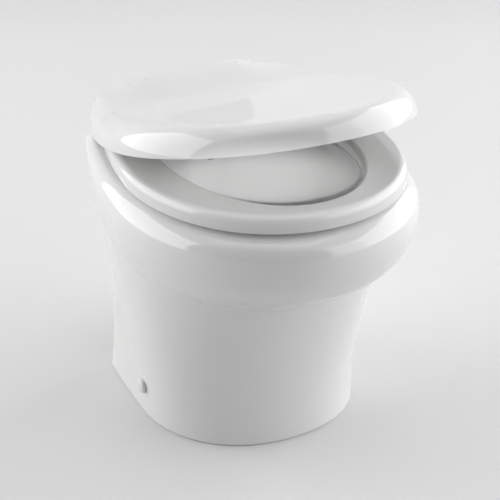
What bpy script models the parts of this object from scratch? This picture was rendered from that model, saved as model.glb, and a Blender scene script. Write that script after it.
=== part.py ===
# A low pedestal toilet that stands on the floor and is flushed by an electric macerator pump.
# Metres, +Z up, nose towards -Y, left is -X. The floor is z = 0 and the lid stands ajar.
import math

import bmesh
import bpy
import numpy as np
from mathutils import Matrix, Vector

# China bowl: heights of its stations, and the half widths and reaches there
RIM_HEIGHT = 0.3455
WAIST_HEIGHT = 0.110
CREASE_BELOW_RIM = 0.1055
BELLY_BELOW_RIM = 0.0335
BELLY_DROP = 0.112
MIDDLE_Y = -0.007
CENTRE_SETBACK = 0.040
FOOT_SETBACK = 0.044
BELLY_SETBACK = 0.060
FOOT_HALF_WIDTH = 0.1463
WAIST_HALF_WIDTH = 0.1563
CREASE_HALF_WIDTH = 0.1765
NECK_HALF_WIDTH = 0.187
FOOT_NOSE = 0.145
WAIST_NOSE = 0.146
CREASE_NOSE = 0.1935
NECK_NOSE = 0.228
FOOT_BEFORE_RIM_BACK = 0.040
BACK_LEAN = 0.038
FOOT_BACK_HALF = 0.1365
WAIST_BACK_HALF = 0.126
CREASE_BACK_HALF = 0.133
NECK_BACK_HALF = 0.1486
RIM_MARGIN = 0.007
RIM_BACK = 0.221
RIM_CORNER = 0.045
BELLY_BULGE = 0.0107
CREASE_BLEND = 0.008
SHOULDER = 0.020
BACK_SHOULDER = 0.009
CHINA_WALL = 0.009
DECK_THICKNESS = 0.014
FOOT_POWER_SHARE = 2.15
FOOT_TAPER_SHARE = 1.64
BELLY_FALL_SHARE = 1.92
BELLY_ROUND_SHARE = 3.5
BACK_STARTS_SHARE = 0.86
BACK_FULL_SHARE = 0.97
COLUMN_RING_SHARES = (0, 0.2, 0.4, 0.6, 0.8, 0.95)
BELLY_RING_SHARES = (0.08, 0.17, 0.26, 0.35, 0.46, 0.62, 0.8, 0.97)
NECK_RING_SHARE = 0.5
SHOULDER_TURNS = (0, 25, 50, 75)
CORNER_SPREAD = math.radians(14)
CORNER_CROWD_SHARE = 1.6

# Basin and its outlet
BASIN_MARGIN = 0.008
BASIN_LIP = 0.005
BASIN_DEPTH = 0.178
OUTLET_SETBACK = 0.0105
OUTLET_RADIUS = 0.027
SPIGOT_WALL = 0.009
SPIGOT_LENGTH = 0.0325
LIP_SHARE = 0.33
ROUND_FROM_SHARE = 0.3
BASIN_DEPTH_SHARES = (0.07, 0.17, 0.32, 0.48, 0.64, 0.79, 0.91, 1.0)
BASIN_SIZE_SHARES = (1.04, 1.05, 1.02, 0.94, 0.81, 0.63, 0.43, 0.24)

# Openings cut through the china
ARCH_HALF_WIDTH = 0.095
ARCH_HEIGHT = 0.215
ARCH_DEPTH = 0.020
BOLT_HOLE_RADIUS = 0.006
SCREW_HOLE_RADIUS = 0.0035
NOZZLE_BELOW_RIM = 0.0295
NOZZLE_HOLE_RADIUS = 0.0075
NOZZLE_SEAT_DEPTH = 0.0015

# Seat ring
SEAT_GAP = 0.004
SEAT_THICKNESS = 0.0225
SEAT_HALF_WIDTH = 0.176
SEAT_NOSE = 0.200
SEAT_TAIL = 0.389
SEAT_BEFORE_RIM_BACK = 0.058
SEAT_CORNER = 0.022
SEAT_EDGE = 0.010
SEAT_INNER_EDGE = 0.007
SEAT_DISH = 0.002
HOLE_SIDE_INSET = 0.058
HOLE_NOSE_INSET = 0.037
HOLE_BACK_INSET = 0.042
HOLE_SETBACK = 0.010
SEAT_UNDER_SHARE = 0.25
SEAT_OUTER_TURNS = (-90, -45, 0, 30, 60, 90)
SEAT_INNER_TURNS = (90, 45, 0)
SEAT_NOSE_POWER_SHARE = 2.08
SEAT_TAIL_POWER_SHARE = 1.54

# Lid, a shell that wraps over the seat and rises into a roll over the hinges
LID_PAST_SEAT_SIDE = 0.011
LID_PAST_SEAT_NOSE = 0.010
LID_PAST_SEAT_TAIL = 0.012
LID_PAST_RIM_BACK = 0.006
LID_CORNER = 0.036
LID_WALL = 0.004
LID_HEIGHT = 0.0415
LID_INSET = 0.0136
LID_EDGE = 0.022
FLANK_INSET = 0.0277
FLANK_EDGE = 0.0347
REAR_INSET = 0.028
REAR_EDGE = 0.044
LID_DISH = 0.004
LID_DISH_POWER_SHARE = 8
LID_RING_SHARES = (0.15, 0.4, 0.62, 0.8, 0.92)
LID_EDGE_TURNS = (0, 22, 45, 68, 90)
SKIRT_SHARES = (0.4, 1.0)
LID_NOSE_POWER_SHARE = 2.1
LID_TAIL_POWER_SHARE = 1.6
LID_AJAR = math.radians(15.75)
ROLL_RADIUS = 0.033
ROLL_FULL = 0.053
ROLL_GONE = 0.192
ROLL_LEDGE_SHARE = 0.75
LID_FALL = 0.0022
LID_FALL_POWER_SHARE = 2.7
NOSE_FALL = 0.008
NOSE_FALL_REACH = 0.250
ROLL_SIDE_REACH = 0.060
SWEEP_REACH = 0.089
ROLL_ENDS = math.radians(-5)

# Hinges: their axis, and the stack of lug, post and lug along it
HINGE_BEFORE_RIM_BACK = 0.027
HINGE_RISE = 0.0355
POST_X = 0.078
POST_WIDTH = 0.016
POST_DEPTH = 0.010
POST_RADIUS = 0.008
FLANGE_RADIUS = 0.013
FLANGE_HEIGHT = 0.003
PIN_RADIUS = 0.004
PIN_LENGTH = 0.056
LUG_WIDTH = 0.0045
LUG_RADIUS = 0.010
LUG_GAP = 0.002
SEAT_ROLL_RADIUS = 0.014
SEAT_ROLL_HALF = 0.110
BLOCK_DROP = 0.0235
DAMPER_RADIUS = 0.009
DAMPER_LENGTH = 0.016
NOTCH_HALF_WIDTH = 0.0150
NOTCH_TOP = math.radians(66)
NOTCH_BELOW = math.radians(20)
STUD_RADIUS = 0.004
STUD_LENGTH = 0.050
STUD_GRIP = 0.004
WASHER_RADIUS = 0.013
WASHER_HEIGHT = 0.003
NUT_RADIUS = 0.010
NUT_HEIGHT = 0.009

# Bumpers between lid, seat and rim
BUMPER_RADIUS = 0.006
BUMPER_NOSE_X = 0.078
BUMPER_NOSE_INSET = 0.0545
BUMPER_SIDE_INSET = 0.035
BUMPER_SIDE_SETBACK = 0.0655
LID_BUMPER_X = 0.060
LID_BUMPER_INSET = 0.0295

# Side fixings: bracket on the floor, screw through the china, cap over its head
FIXING_SETBACK = 0.043
FIXING_HEIGHT = 0.045
CAP_RADIUS = 0.0100
CAP_CROWN_SHARE = 0.8
CAP_EDGE_SHARE = 0.6
CAP_DEPTH = 0.0055
CAP_POCKET_RADIUS = 0.0062
CAP_POCKET_DEPTH = 0.004
SCREW_HEAD_RADIUS = 0.0055
SCREW_HEAD_DEPTH = 0.0030
SCREW_RADIUS = 0.0025
SCREW_LENGTH = 0.026
BRACKET_CLEAR = 0.0045
BRACKET_WIDTH = 0.040
BRACKET_THICKNESS = 0.004
BRACKET_FOOT = 0.034
BRACKET_HEIGHT = 0.062
FLOOR_BOLT_RADIUS = 0.0035
FLOOR_HEAD_RADIUS = 0.0065
FLOOR_HEAD_HEIGHT = 0.004

# Macerator pump under the outlet
GASKET_WALL = 0.004
GASKET_HANG = 0.005
CUP_LAP = 0.017
CUP_WALL = 0.004
CUP_BELOW_PUMP = 0.034
PUMP_DROP = 0.033
VOLUTE_RADIUS = 0.033
VOLUTE_WALL = 0.004
VOLUTE_LENGTH = 0.027
NECK_RADIUS = 0.019
PLATE_THICKNESS = 0.006
SEAL_RADIUS = 0.0085
SEAL_DEPTH = 0.003
STUB_RADIUS = 0.0130
STUB_BORE = 0.0095
STUB_RISE = 0.010
STUB_REACH = 0.011
SHAFT_RADIUS = 0.004
SHAFT_REACH = 0.023
IMPELLER_HUB = 0.009
IMPELLER_RADIUS = 0.026
IMPELLER_DEPTH = 0.014
VANE_COUNT = 4
VANE_THICKNESS = 0.003
BLADE_LENGTH = 0.030
BLADE_WIDTH = 0.010
BLADE_THICKNESS = 0.002
BLADE_NUT_RADIUS = 0.0065
BLADE_NUT_DEPTH = 0.005
MOTOR_RADIUS = 0.028
MOTOR_WALL = 0.0025
MOTOR_LENGTH = 0.074
MOTOR_FACE = 0.006
BEARING_RADIUS = 0.0105
BEARING_DEPTH = 0.005
CAP_END_DEPTH = 0.009
CAP_END_SHARE = 0.85
CAP_SIDE_SHARE = 0.6
ROTOR_RADIUS = 0.0175
ROTOR_LENGTH = 0.040
ROTOR_OFFSET = 0.014
COMMUTATOR_RADIUS = 0.009
COMMUTATOR_LENGTH = 0.011
MAGNET_GAP = 0.001
MAGNET_SPAN = math.radians(124)
ARC_STEPS = 10
TERMINAL_LENGTH = 0.026
TERMINAL_WIDTH = 0.022
TERMINAL_HEIGHT = 0.014
TERMINAL_SET_BACK = 0.008
SADDLE_HALF_WIDTH = 0.030
SADDLE_LENGTH = 0.034
SADDLE_OFFSET = 0.020
STRAP_THICKNESS = 0.002
STRAP_EAR = 0.012
STRAP_WIDTH = 0.020

# Discharge pipe to the back
PIPE_BEND = 0.024
UNION_WALL = 0.004
UNION_LENGTH = 0.014
PIPE_PAST_BACK = 0.009
BEND_STEPS = 6
DUCKBILL_SETBACK = 0.0295
DUCKBILL_LENGTH = 0.026
DUCKBILL_WALL = 0.0015
DUCKBILL_SHARE = 0.45
DUCKBILL_SLEEVE_SHARE = 0.3

# Water valve, hose and nozzle
VALVE_X = -0.058
VALVE_BEFORE_RIM_BACK = 0.0655
VALVE_DROP = 0.002
VALVE_RADIUS = 0.015
VALVE_LENGTH = 0.044
WATER_BORE = 0.006
INLET_RADIUS = 0.0105
BOSS_RADIUS = 0.011
BOSS_HEIGHT = 0.022
OUTLET_BARB = 0.008
OUTLET_BARB_LENGTH = 0.014
PLUNGER_RADIUS = 0.0045
PLUNGER_SEAT_GAP = 0.0011
GUIDE_WALL = 0.001
GUIDE_HEIGHT = 0.032
COIL_RADIUS = 0.013
COIL_HEIGHT = 0.026
SPRING_LENGTH = 0.013
SPRING_RADIUS = 0.0031
SPRING_WIRE = 0.0004
SPRING_TURNS = 6
SPRING_POINTS = 8
SPRING_SIDES = 3
HOSE_BEND = 0.011
HOSE_LIFT = 0.125
HOSE_SIDES = 8
NOZZLE_FLANGE = 0.011
NOZZLE_FLANGE_DEPTH = 0.0025
NOZZLE_BORE = 0.004
NOZZLE_TAIL = 0.022
ROUTE_SHARES = (0, 0.5)

# Fits and counts
TOUCH_GAP = 0.0003
RUNNING_GAP = 0.0005
CUT_OVERRUN = 0.010
JOIN_OVERLAP = 0.002
HALF_STATIONS = 24
ROUND_STEPS = 12
WIDE_STEPS = 24
OUTLINE_POINTS = 400
CROSSING_BORES = ("macerator_housing", "water_valve_body")

CREASE_HEIGHT = RIM_HEIGHT - CREASE_BELOW_RIM
BELLY_HEIGHT = RIM_HEIGHT - BELLY_BELOW_RIM
BELLY_BOTTOM = BELLY_HEIGHT - BELLY_DROP
NECK_HEIGHT = RIM_HEIGHT - SHOULDER
DECK_BOTTOM = RIM_HEIGHT - DECK_THICKNESS
BASIN_BOTTOM = RIM_HEIGHT - BASIN_DEPTH
SPIGOT_BOTTOM = BASIN_BOTTOM - SPIGOT_LENGTH
CHINA_CENTRE = MIDDLE_Y + CENTRE_SETBACK
FOOT_MIDDLE = MIDDLE_Y + FOOT_SETBACK
BELLY_CENTRE = MIDDLE_Y + BELLY_SETBACK
HOLE_MIDDLE = MIDDLE_Y + HOLE_SETBACK
OUTLET_Y = MIDDLE_Y + OUTLET_SETBACK
FIXING_Y = MIDDLE_Y + FIXING_SETBACK
BACK_Y = MIDDLE_Y + RIM_BACK
FOOT_BACK = BACK_Y - FOOT_BEFORE_RIM_BACK - FOOT_MIDDLE
SEAT_BACK = RIM_BACK - SEAT_BEFORE_RIM_BACK
HOLE_HALF_WIDTH = SEAT_HALF_WIDTH - HOLE_SIDE_INSET
HOLE_NOSE = SEAT_NOSE - HOLE_NOSE_INSET + HOLE_SETBACK
HOLE_BACK = SEAT_BACK - HOLE_BACK_INSET - HOLE_SETBACK
LID_HALF_WIDTH = SEAT_HALF_WIDTH + LID_PAST_SEAT_SIDE
LID_NOSE = SEAT_NOSE + LID_PAST_SEAT_NOSE
LID_TAIL = SEAT_TAIL + LID_PAST_SEAT_TAIL
LID_BACK = RIM_BACK + LID_PAST_RIM_BACK
HINGE_Y = BACK_Y - HINGE_BEFORE_RIM_BACK
NOZZLE_HEIGHT = RIM_HEIGHT - NOZZLE_BELOW_RIM
SPIGOT_RADIUS = OUTLET_RADIUS + SPIGOT_WALL
CUP_RADIUS = SPIGOT_RADIUS + GASKET_WALL + TOUCH_GAP
CUP_OUTER = CUP_RADIUS + CUP_WALL
CUP_TOP = SPIGOT_BOTTOM + CUP_LAP
PUMP_HEIGHT = SPIGOT_BOTTOM - PUMP_DROP
CUP_BOTTOM = PUMP_HEIGHT - CUP_BELOW_PUMP
VOLUTE_FRONT = OUTLET_Y + CUP_OUTER + VOLUTE_WALL
VOLUTE_BACK = VOLUTE_FRONT + VOLUTE_LENGTH
STUB_Y = VOLUTE_FRONT + VOLUTE_LENGTH / 2
STUB_Z = PUMP_HEIGHT + STUB_RISE
STUB_X = VOLUTE_RADIUS + STUB_REACH
SHAFT_FRONT = VOLUTE_FRONT - SHAFT_REACH
PIPE_END_Y = BACK_Y + PIPE_PAST_BACK
VALVE_Y = BACK_Y - VALVE_BEFORE_RIM_BACK
VALVE_HEIGHT = PUMP_HEIGHT - VALVE_DROP
LID_TOP = LID_HEIGHT + RIM_HEIGHT
SEAT_BOTTOM = RIM_HEIGHT + SEAT_GAP
SEAT_TOP = SEAT_BOTTOM + SEAT_THICKNESS
HINGE_Z = RIM_HEIGHT + HINGE_RISE
HINGE = Vector((0, HINGE_Y, HINGE_Z))
MOTOR_FRONT = VOLUTE_BACK + TOUCH_GAP + PLATE_THICKNESS + TOUCH_GAP
MOTOR_BACK = MOTOR_FRONT + MOTOR_LENGTH
POCKET_HALF = POST_WIDTH / 2 + LUG_GAP + LUG_WIDTH + LUG_GAP


def smoothstep(value, low, high):
    share = np.clip((value - low) / (high - low), 0, 1)
    return share * share * (3 - 2 * share)


def half_outline(half_width, nose, nose_power, tail, tail_power, back, corner, middle):
    """Right half of a plan outline from the nose to the back: a rounded nose, and a cut-off tail."""
    turn = np.linspace(0, math.pi / 2, OUTLINE_POINTS)
    x = half_width * np.sin(turn) ** (2 / nose_power)
    y = -nose * np.cos(turn) ** (2 / nose_power)
    run = np.linspace(0, back - corner, OUTLINE_POINTS)
    side = half_width * (1 - (run / tail) ** tail_power) ** (1 / tail_power)
    slope = (side[-1] - side[-2]) / (run[-1] - run[-2])
    round_x = side[-1] + slope * corner * np.sin(turn) - corner * (1 - np.cos(turn))
    round_y = run[-1] + corner * np.sin(turn)
    straight = np.linspace(round_x[-1], 0, OUTLINE_POINTS)
    x = np.concatenate([x, side, round_x, straight])
    y = np.concatenate([y, run, round_y, np.full(OUTLINE_POINTS, back)])
    return x, y + middle


def station_angles():
    """Angles of the right half's stations about the china's centre, closer together at the corner."""
    even = np.linspace(-math.pi / 2, math.pi / 2, OUTLINE_POINTS)
    corner = math.atan2(RIM_BACK - RIM_CORNER / 2, WAIST_HALF_WIDTH)
    crowd = 1 + CORNER_CROWD_SHARE * np.exp(-(((even - corner) / CORNER_SPREAD) ** 2))
    total = np.concatenate([[0], np.cumsum((crowd[1:] + crowd[:-1]) / 2)])
    return np.interp(np.linspace(0, total[-1], HALF_STATIONS + 1), total, even)


ANGLES = station_angles()


def to_radii(x, y):
    """Reach of a half outline from the china's centre at each station angle."""
    angle = np.arctan2(y - CHINA_CENTRE, x)
    order = np.argsort(angle)
    return np.interp(ANGLES, angle[order], np.hypot(x, y - CHINA_CENTRE)[order])


def ring(radii, height):
    """A closed ring of stations, counter-clockwise from the nose, mirrored about x = 0."""
    x = radii * np.cos(ANGLES)
    x[0] = 0
    x[-1] = 0
    y = CHINA_CENTRE + radii * np.sin(ANGLES)
    right = np.column_stack([x, y, np.broadcast_to(height, x.shape)])
    left = right[-2:0:-1] * [-1, 1, 1]
    return np.vstack([right, left])


def offset(grid, distance):
    """The grid of rings moved along its own normals."""
    along = np.roll(grid, -1, axis=1) - np.roll(grid, 1, axis=1)
    across = np.gradient(grid, axis=0)
    normal = np.cross(along, across)
    normal /= np.linalg.norm(normal, axis=2, keepdims=True)
    moved = grid + normal * distance
    moved[:, 0, 0] = 0
    moved[:, HALF_STATIONS, 0] = 0
    return moved


def material(name, color, roughness, metallic=0.0):
    shade = bpy.data.materials.new(name)
    shade.use_nodes = True
    shader = shade.node_tree.nodes["Principled BSDF"]
    shader.inputs["Base Color"].default_value = (*color, 1)
    shader.inputs["Roughness"].default_value = roughness
    shader.inputs["Metallic"].default_value = metallic
    shade.diffuse_color = (*color, 1)
    return shade


def finish(mesh_data, name, shade, parent=None, origin=Vector((0, 0, 0)), cutter=False):
    """Turns a bmesh into an object whose mesh is measured from the given origin."""
    bmesh.ops.translate(mesh_data, verts=mesh_data.verts, vec=-origin)
    bmesh.ops.recalc_face_normals(mesh_data, faces=mesh_data.faces)
    mesh = bpy.data.meshes.new(name)
    mesh_data.to_mesh(mesh)
    mesh_data.free()
    mesh.shade_smooth()
    mesh.set_sharp_from_angle(angle=math.radians(35))
    piece = bpy.data.objects.new(name, mesh)
    bpy.context.collection.objects.link(piece)
    if parent:
        piece.parent = parent
    else:
        piece.location = origin
    if cutter:
        piece.hide_render = True
        piece.display_type = "WIRE"
    else:
        mesh.materials.append(shade)
    return piece


def loft(rings, closed):
    """Skins a list of equal rings; a closed loft joins its last ring to its first."""
    skin = bmesh.new()
    rows = [[skin.verts.new(point) for point in points] for points in rings]
    count = len(rows[0])
    pairs = list(zip(rows, rows[1:]))
    if closed:
        pairs.append((rows[-1], rows[0]))
    else:
        skin.faces.new(rows[0])
        skin.faces.new(rows[-1])
    for low, high in pairs:
        for index in range(count):
            after = (index + 1) % count
            skin.faces.new((low[index], low[after], high[after], high[index]))
    return skin


def turned(profile, steps=ROUND_STEPS):
    """Turns a closed outline of (radius, height) about Z; points on the axis become poles."""
    body = bmesh.new()
    rows = []
    for radius, height in profile:
        if radius == 0:
            rows.append([body.verts.new((0, 0, height))])
        else:
            turns = [2 * math.pi * index / steps for index in range(steps)]
            rows.append([body.verts.new((radius * math.cos(turn), radius * math.sin(turn), height))
                         for turn in turns])
    for low, high in zip(rows, rows[1:] + rows[:1]):
        for index in range(steps):
            after = (index + 1) % steps
            if len(low) > 1 and len(high) > 1:
                body.faces.new((low[index], low[after], high[after], high[index]))
            elif len(low) > 1:
                body.faces.new((low[index], low[after], high[0]))
            elif len(high) > 1:
                body.faces.new((low[0], high[after], high[index]))
    return body


def rod(radius, length):
    return [(0, 0), (radius, 0), (radius, length), (0, length)]


def tube(outer, inner, length):
    return [(outer, 0), (outer, length), (inner, length), (inner, 0)]


def block(low, high):
    """A box between two corners."""
    body = bmesh.new()
    bmesh.ops.create_cube(body, size=1)
    low = Vector(low)
    high = Vector(high)
    size = high - low
    for vertex in body.verts:
        vertex.co = low + Vector(((vertex.co.x + 0.5) * size.x, (vertex.co.y + 0.5) * size.y,
                                  (vertex.co.z + 0.5) * size.z))
    return body


def extruded(outline, axis, low, high):
    """Extrudes a closed outline of the two other coordinates along an axis."""
    body = bmesh.new()
    points = [Vector((low, u, v)) if axis == "X" else Vector((u, low, v)) for u, v in outline]
    face = body.faces.new([body.verts.new(point) for point in points])
    moved = bmesh.ops.extrude_face_region(body, geom=[face])
    travel = Vector((high - low, 0, 0)) if axis == "X" else Vector((0, high - low, 0))
    new = [item for item in moved["geom"] if isinstance(item, bmesh.types.BMVert)]
    bmesh.ops.translate(body, verts=new, vec=travel)
    return body


def aimed(body, where, toward):
    """Turns a body made along Z towards a direction and sets it at a place."""
    turn = Vector(toward).to_track_quat("Z", "Y").to_matrix()
    bmesh.ops.rotate(body, verts=body.verts, cent=(0, 0, 0), matrix=turn)
    bmesh.ops.translate(body, verts=body.verts, vec=Vector(where))
    return body


def combine(piece, other, operation):
    """Adds a boolean step; the two bodies whose bores cross need the manifold solver."""
    step = piece.modifiers.new(other.name, "BOOLEAN")
    step.operation = operation
    step.solver = "MANIFOLD" if piece.name in CROSSING_BORES else "EXACT"
    step.object = other


def cut(piece, body, name, parent=None, origin=Vector((0, 0, 0))):
    combine(piece, finish(body, name, None, parent, origin, cutter=True), "DIFFERENCE")


def join(piece, body, name, parent=None, origin=Vector((0, 0, 0))):
    combine(piece, finish(body, name, None, parent, origin, cutter=True), "UNION")


def around(radius, steps=ROUND_STEPS):
    """Radius of a round hole whose flat sides clear a many-sided rod turned to any angle."""
    return radius / math.cos(math.pi / steps) + TOUCH_GAP


def hex_nut(name, where, toward, radius, bore, depth, shade):
    nut = finish(aimed(turned(rod(radius, depth), 6), where, toward), name, shade)
    start = Vector(where) - Vector(toward) * CUT_OVERRUN
    cut(nut, aimed(turned(rod(bore, depth + 2 * CUT_OVERRUN)), start, toward), "nut_bore_cutter")
    return nut


def arc(centre, radius, start, end, steps):
    """Points of an arc about a centre in a plane."""
    turns = [start + (end - start) * index / steps for index in range(steps + 1)]
    return [(centre[0] + radius * math.cos(turn), centre[1] + radius * math.sin(turn)) for turn in turns]


def through(heights, values, height):
    """Value at a height on the smooth curve through four stations."""
    return np.polyval(np.polyfit(heights, values, 3), height)


STATION_HEIGHTS = (0, WAIST_HEIGHT, CREASE_HEIGHT, RIM_HEIGHT)
RIM_RADII = to_radii(*half_outline(SEAT_HALF_WIDTH + RIM_MARGIN, SEAT_NOSE + RIM_MARGIN,
                                   SEAT_NOSE_POWER_SHARE, SEAT_TAIL + 2 * RIM_MARGIN,
                                   SEAT_TAIL_POWER_SHARE, RIM_BACK, RIM_CORNER, MIDDLE_Y))
BACKNESS = smoothstep(np.sin(ANGLES), BACK_STARTS_SHARE, BACK_FULL_SHARE)
SHOULDERS = SHOULDER + (BACK_SHOULDER - SHOULDER) * BACKNESS


def column_radii(height):
    """The flared foot column, widest at the back."""
    half = through(STATION_HEIGHTS, (FOOT_HALF_WIDTH, WAIST_HALF_WIDTH, CREASE_HALF_WIDTH, NECK_HALF_WIDTH),
                   height)
    nose = through(STATION_HEIGHTS, (FOOT_NOSE, WAIST_NOSE, CREASE_NOSE, NECK_NOSE), height)
    back_half = through(STATION_HEIGHTS, (FOOT_BACK_HALF, WAIST_BACK_HALF, CREASE_BACK_HALF,
                                          NECK_BACK_HALF), height)
    back = FOOT_BACK + BACK_LEAN * height / RIM_HEIGHT
    turn = np.linspace(0, math.pi / 2, OUTLINE_POINTS)
    run = np.linspace(0, 1, OUTLINE_POINTS)
    x = np.concatenate([half * np.sin(turn) ** (2 / FOOT_POWER_SHARE),
                        half + (back_half - half) * run ** FOOT_TAPER_SHARE, back_half * run[::-1]])
    y = np.concatenate([-nose * np.cos(turn) ** (2 / FOOT_POWER_SHARE), back * run,
                        np.full(OUTLINE_POINTS, back)])
    return to_radii(x, y + FOOT_MIDDLE)


def belly_radii(height):
    """The bowl's belly, which shrinks towards its own centre below its widest height."""
    fall = min(max((BELLY_HEIGHT - height) / BELLY_DROP, 0), 1)
    share = (1 - fall ** BELLY_FALL_SHARE) ** (1 / BELLY_ROUND_SHARE)
    if share == 0:
        return np.zeros(len(ANGLES))
    x = RIM_RADII * np.cos(ANGLES) * share
    y = (CHINA_CENTRE + RIM_RADII * np.sin(ANGLES) - BELLY_CENTRE) * share + BELLY_CENTRE
    below = min((RIM_HEIGHT - height) / (RIM_HEIGHT - BELLY_HEIGHT), 1)
    return to_radii(x, y) + BELLY_BULGE * (1 - BACKNESS) * (1 - (1 - below) ** 2) * share


def china_radii(height):
    """Column and belly blended at their crease, and rounded at the shoulder."""
    column = column_radii(height)
    belly = belly_radii(height)
    share = np.clip(0.5 + 0.5 * (column - belly) / CREASE_BLEND, 0, 1)
    both = belly + (column - belly) * share + CREASE_BLEND * share * (1 - share)
    rise = np.clip(height - (RIM_HEIGHT - SHOULDERS), 0, SHOULDERS)
    return both - (SHOULDERS - np.sqrt(SHOULDERS ** 2 - rise ** 2))


def basin_grid():
    """Rings of the basin's inner surface from the rim's edge down to the outlet."""
    edge_x, edge_y = half_outline(HOLE_HALF_WIDTH + BASIN_MARGIN, HOLE_NOSE + BASIN_MARGIN,
                                  SEAT_NOSE_POWER_SHARE, HOLE_BACK + BASIN_MARGIN + HOLE_MIDDLE,
                                  SEAT_NOSE_POWER_SHARE, HOLE_BACK + BASIN_MARGIN, BASIN_LIP,
                                  HOLE_MIDDLE)
    edge = ring(to_radii(edge_x, edge_y), RIM_HEIGHT)
    rings = []
    for depth, size in zip(BASIN_DEPTH_SHARES, BASIN_SIZE_SHARES):
        toward = 1 - smoothstep(depth, ROUND_FROM_SHARE, 1)
        middle = OUTLET_Y + (HOLE_MIDDLE - OUTLET_Y) * toward
        points = (edge - [0, HOLE_MIDDLE, 0]) * [size, size, 1]
        reach = np.hypot(points[:, 0], points[:, 1])
        round_reach = OUTLET_RADIUS if depth == 1 else reach.mean()
        mixed = (reach * toward + round_reach * (1 - toward)) / reach
        points = points * np.column_stack([mixed, mixed, np.ones(len(mixed))])
        points[:, 1] += middle
        points[:, 2] = RIM_HEIGHT - BASIN_DEPTH * depth
        rings.append(points)
    return edge, np.array(rings)


for scene_object in list(bpy.data.objects):
    bpy.data.objects.remove(scene_object, do_unlink=True)

CHINA = material("glazed_china", (0.86, 0.86, 0.85), 0.08)
SEAT_WHITE = material("gloss_seat", (0.87, 0.87, 0.86), 0.18)
CHROME = material("hinge_chrome", (0.75, 0.75, 0.77), 0.15, 1.0)
STEEL = material("zinc_steel", (0.6, 0.6, 0.62), 0.35, 1.0)
RUBBER = material("black_rubber", (0.05, 0.05, 0.05), 0.7)
SOFT_WHITE = material("soft_white", (0.75, 0.75, 0.74), 0.5)
NYLON = material("dark_nylon", (0.09, 0.09, 0.1), 0.45)
PIPE_WHITE = material("white_pipe", (0.78, 0.78, 0.77), 0.35)
MOTOR_PAINT = material("motor_paint", (0.12, 0.13, 0.15), 0.4, 0.3)
MAGNET = material("magnet", (0.14, 0.13, 0.13), 0.6, 0.4)
COPPER = material("copper", (0.72, 0.38, 0.22), 0.3, 1.0)
BRASS = material("brass", (0.75, 0.6, 0.3), 0.3, 1.0)


def china_bowl():
    """Pedestal, belly, rim, basin and outlet spigot, one hollow shell open at the floor."""
    heights = [BELLY_BOTTOM * share for share in COLUMN_RING_SHARES]
    heights += [BELLY_BOTTOM + BELLY_DROP * share for share in BELLY_RING_SHARES]
    walls = np.array([ring(china_radii(height), height) for height in heights])
    neck = BELLY_HEIGHT + (NECK_HEIGHT - BELLY_HEIGHT) * NECK_RING_SHARE
    upper = [neck] + [NECK_HEIGHT + SHOULDER * math.sin(math.radians(turn)) for turn in SHOULDER_TURNS]
    outer = list(walls) + [ring(china_radii(height), height) for height in upper + [RIM_HEIGHT]]
    edge, basin = basin_grid()
    spoke = (edge - [0, HOLE_MIDDLE, 0]) * [1, 1, 0]
    land = edge + spoke / np.linalg.norm(spoke, axis=1, keepdims=True) * BASIN_LIP
    lip = [land, edge - [0, 0, BASIN_LIP * LIP_SHARE], edge - [0, 0, BASIN_LIP]]
    under = offset(np.array([lip[-1], *basin]), -CHINA_WALL)
    outlet = np.array([0, OUTLET_Y, SPIGOT_BOTTOM])
    spoke = (basin[-1] - outlet) * [1, 1, 0]
    spoke /= np.linalg.norm(spoke, axis=1, keepdims=True)
    spigot = [outlet + spoke * OUTLET_RADIUS, outlet + spoke * SPIGOT_RADIUS,
              outlet + spoke * SPIGOT_RADIUS + [0, 0, SPIGOT_LENGTH - CHINA_WALL / 2]]
    under_top = under[2].copy()
    under_top[:, 2] = DECK_BOTTOM
    void_top = ring(china_radii(NECK_HEIGHT) - CHINA_WALL, DECK_BOTTOM)
    inner = list(offset(walls, -CHINA_WALL)[::-2])
    foot = ring(china_radii(0) - CHINA_WALL, 0)
    rings = outer + lip + list(basin) + spigot + list(under[-2:1:-2]) + [under_top, void_top] + inner + [foot]
    bowl = finish(loft(rings, closed=True), "china_bowl", CHINA)
    back = FOOT_MIDDLE + FOOT_BACK
    arch = [(-ARCH_HALF_WIDTH, -CUT_OVERRUN), (ARCH_HALF_WIDTH, -CUT_OVERRUN)]
    arch += arc((0, ARCH_HEIGHT - ARCH_HALF_WIDTH), ARCH_HALF_WIDTH, 0, math.pi, ROUND_STEPS)
    cut(bowl, extruded(arch, "Y", back - ARCH_DEPTH, back + BACK_LEAN + CUT_OVERRUN), "arch_cutter")
    for side in (-1, 1):
        hole = rod(BOLT_HOLE_RADIUS, DECK_THICKNESS + 2 * CUT_OVERRUN)
        cut(bowl, aimed(turned(hole), (side * POST_X, HINGE_Y, DECK_BOTTOM - CUT_OVERRUN), (0, 0, 1)),
            "hinge_hole_cutter")
        across = rod(SCREW_HOLE_RADIUS, 2 * CUT_OVERRUN + CHINA_WALL)
        wall_x, normal = wall_at(FIXING_Y, FIXING_HEIGHT, side)
        start = wall_x - normal * (CHINA_WALL + CUT_OVERRUN)
        cut(bowl, aimed(turned(across), start, normal), "screw_hole_cutter")
    seat_y = basin_back(NOZZLE_HEIGHT) + NOZZLE_SEAT_DEPTH
    recess = NOZZLE_FLANGE + RUNNING_GAP
    nozzle = [(0, -CUT_OVERRUN), (recess, -CUT_OVERRUN), (recess, 0), (NOZZLE_HOLE_RADIUS, 0),
              (NOZZLE_HOLE_RADIUS, NOZZLE_TAIL), (0, NOZZLE_TAIL)]
    cut(bowl, aimed(turned(nozzle), (0, seat_y, NOZZLE_HEIGHT), (0, 1, 0)), "nozzle_hole_cutter")
    return bowl


def basin_back(height):
    """Place of the basin's rear wall on the middle line at a height."""
    rear = basin_grid()[1][::-1, HALF_STATIONS]
    return np.interp(height, rear[:, 2], rear[:, 1])


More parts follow.
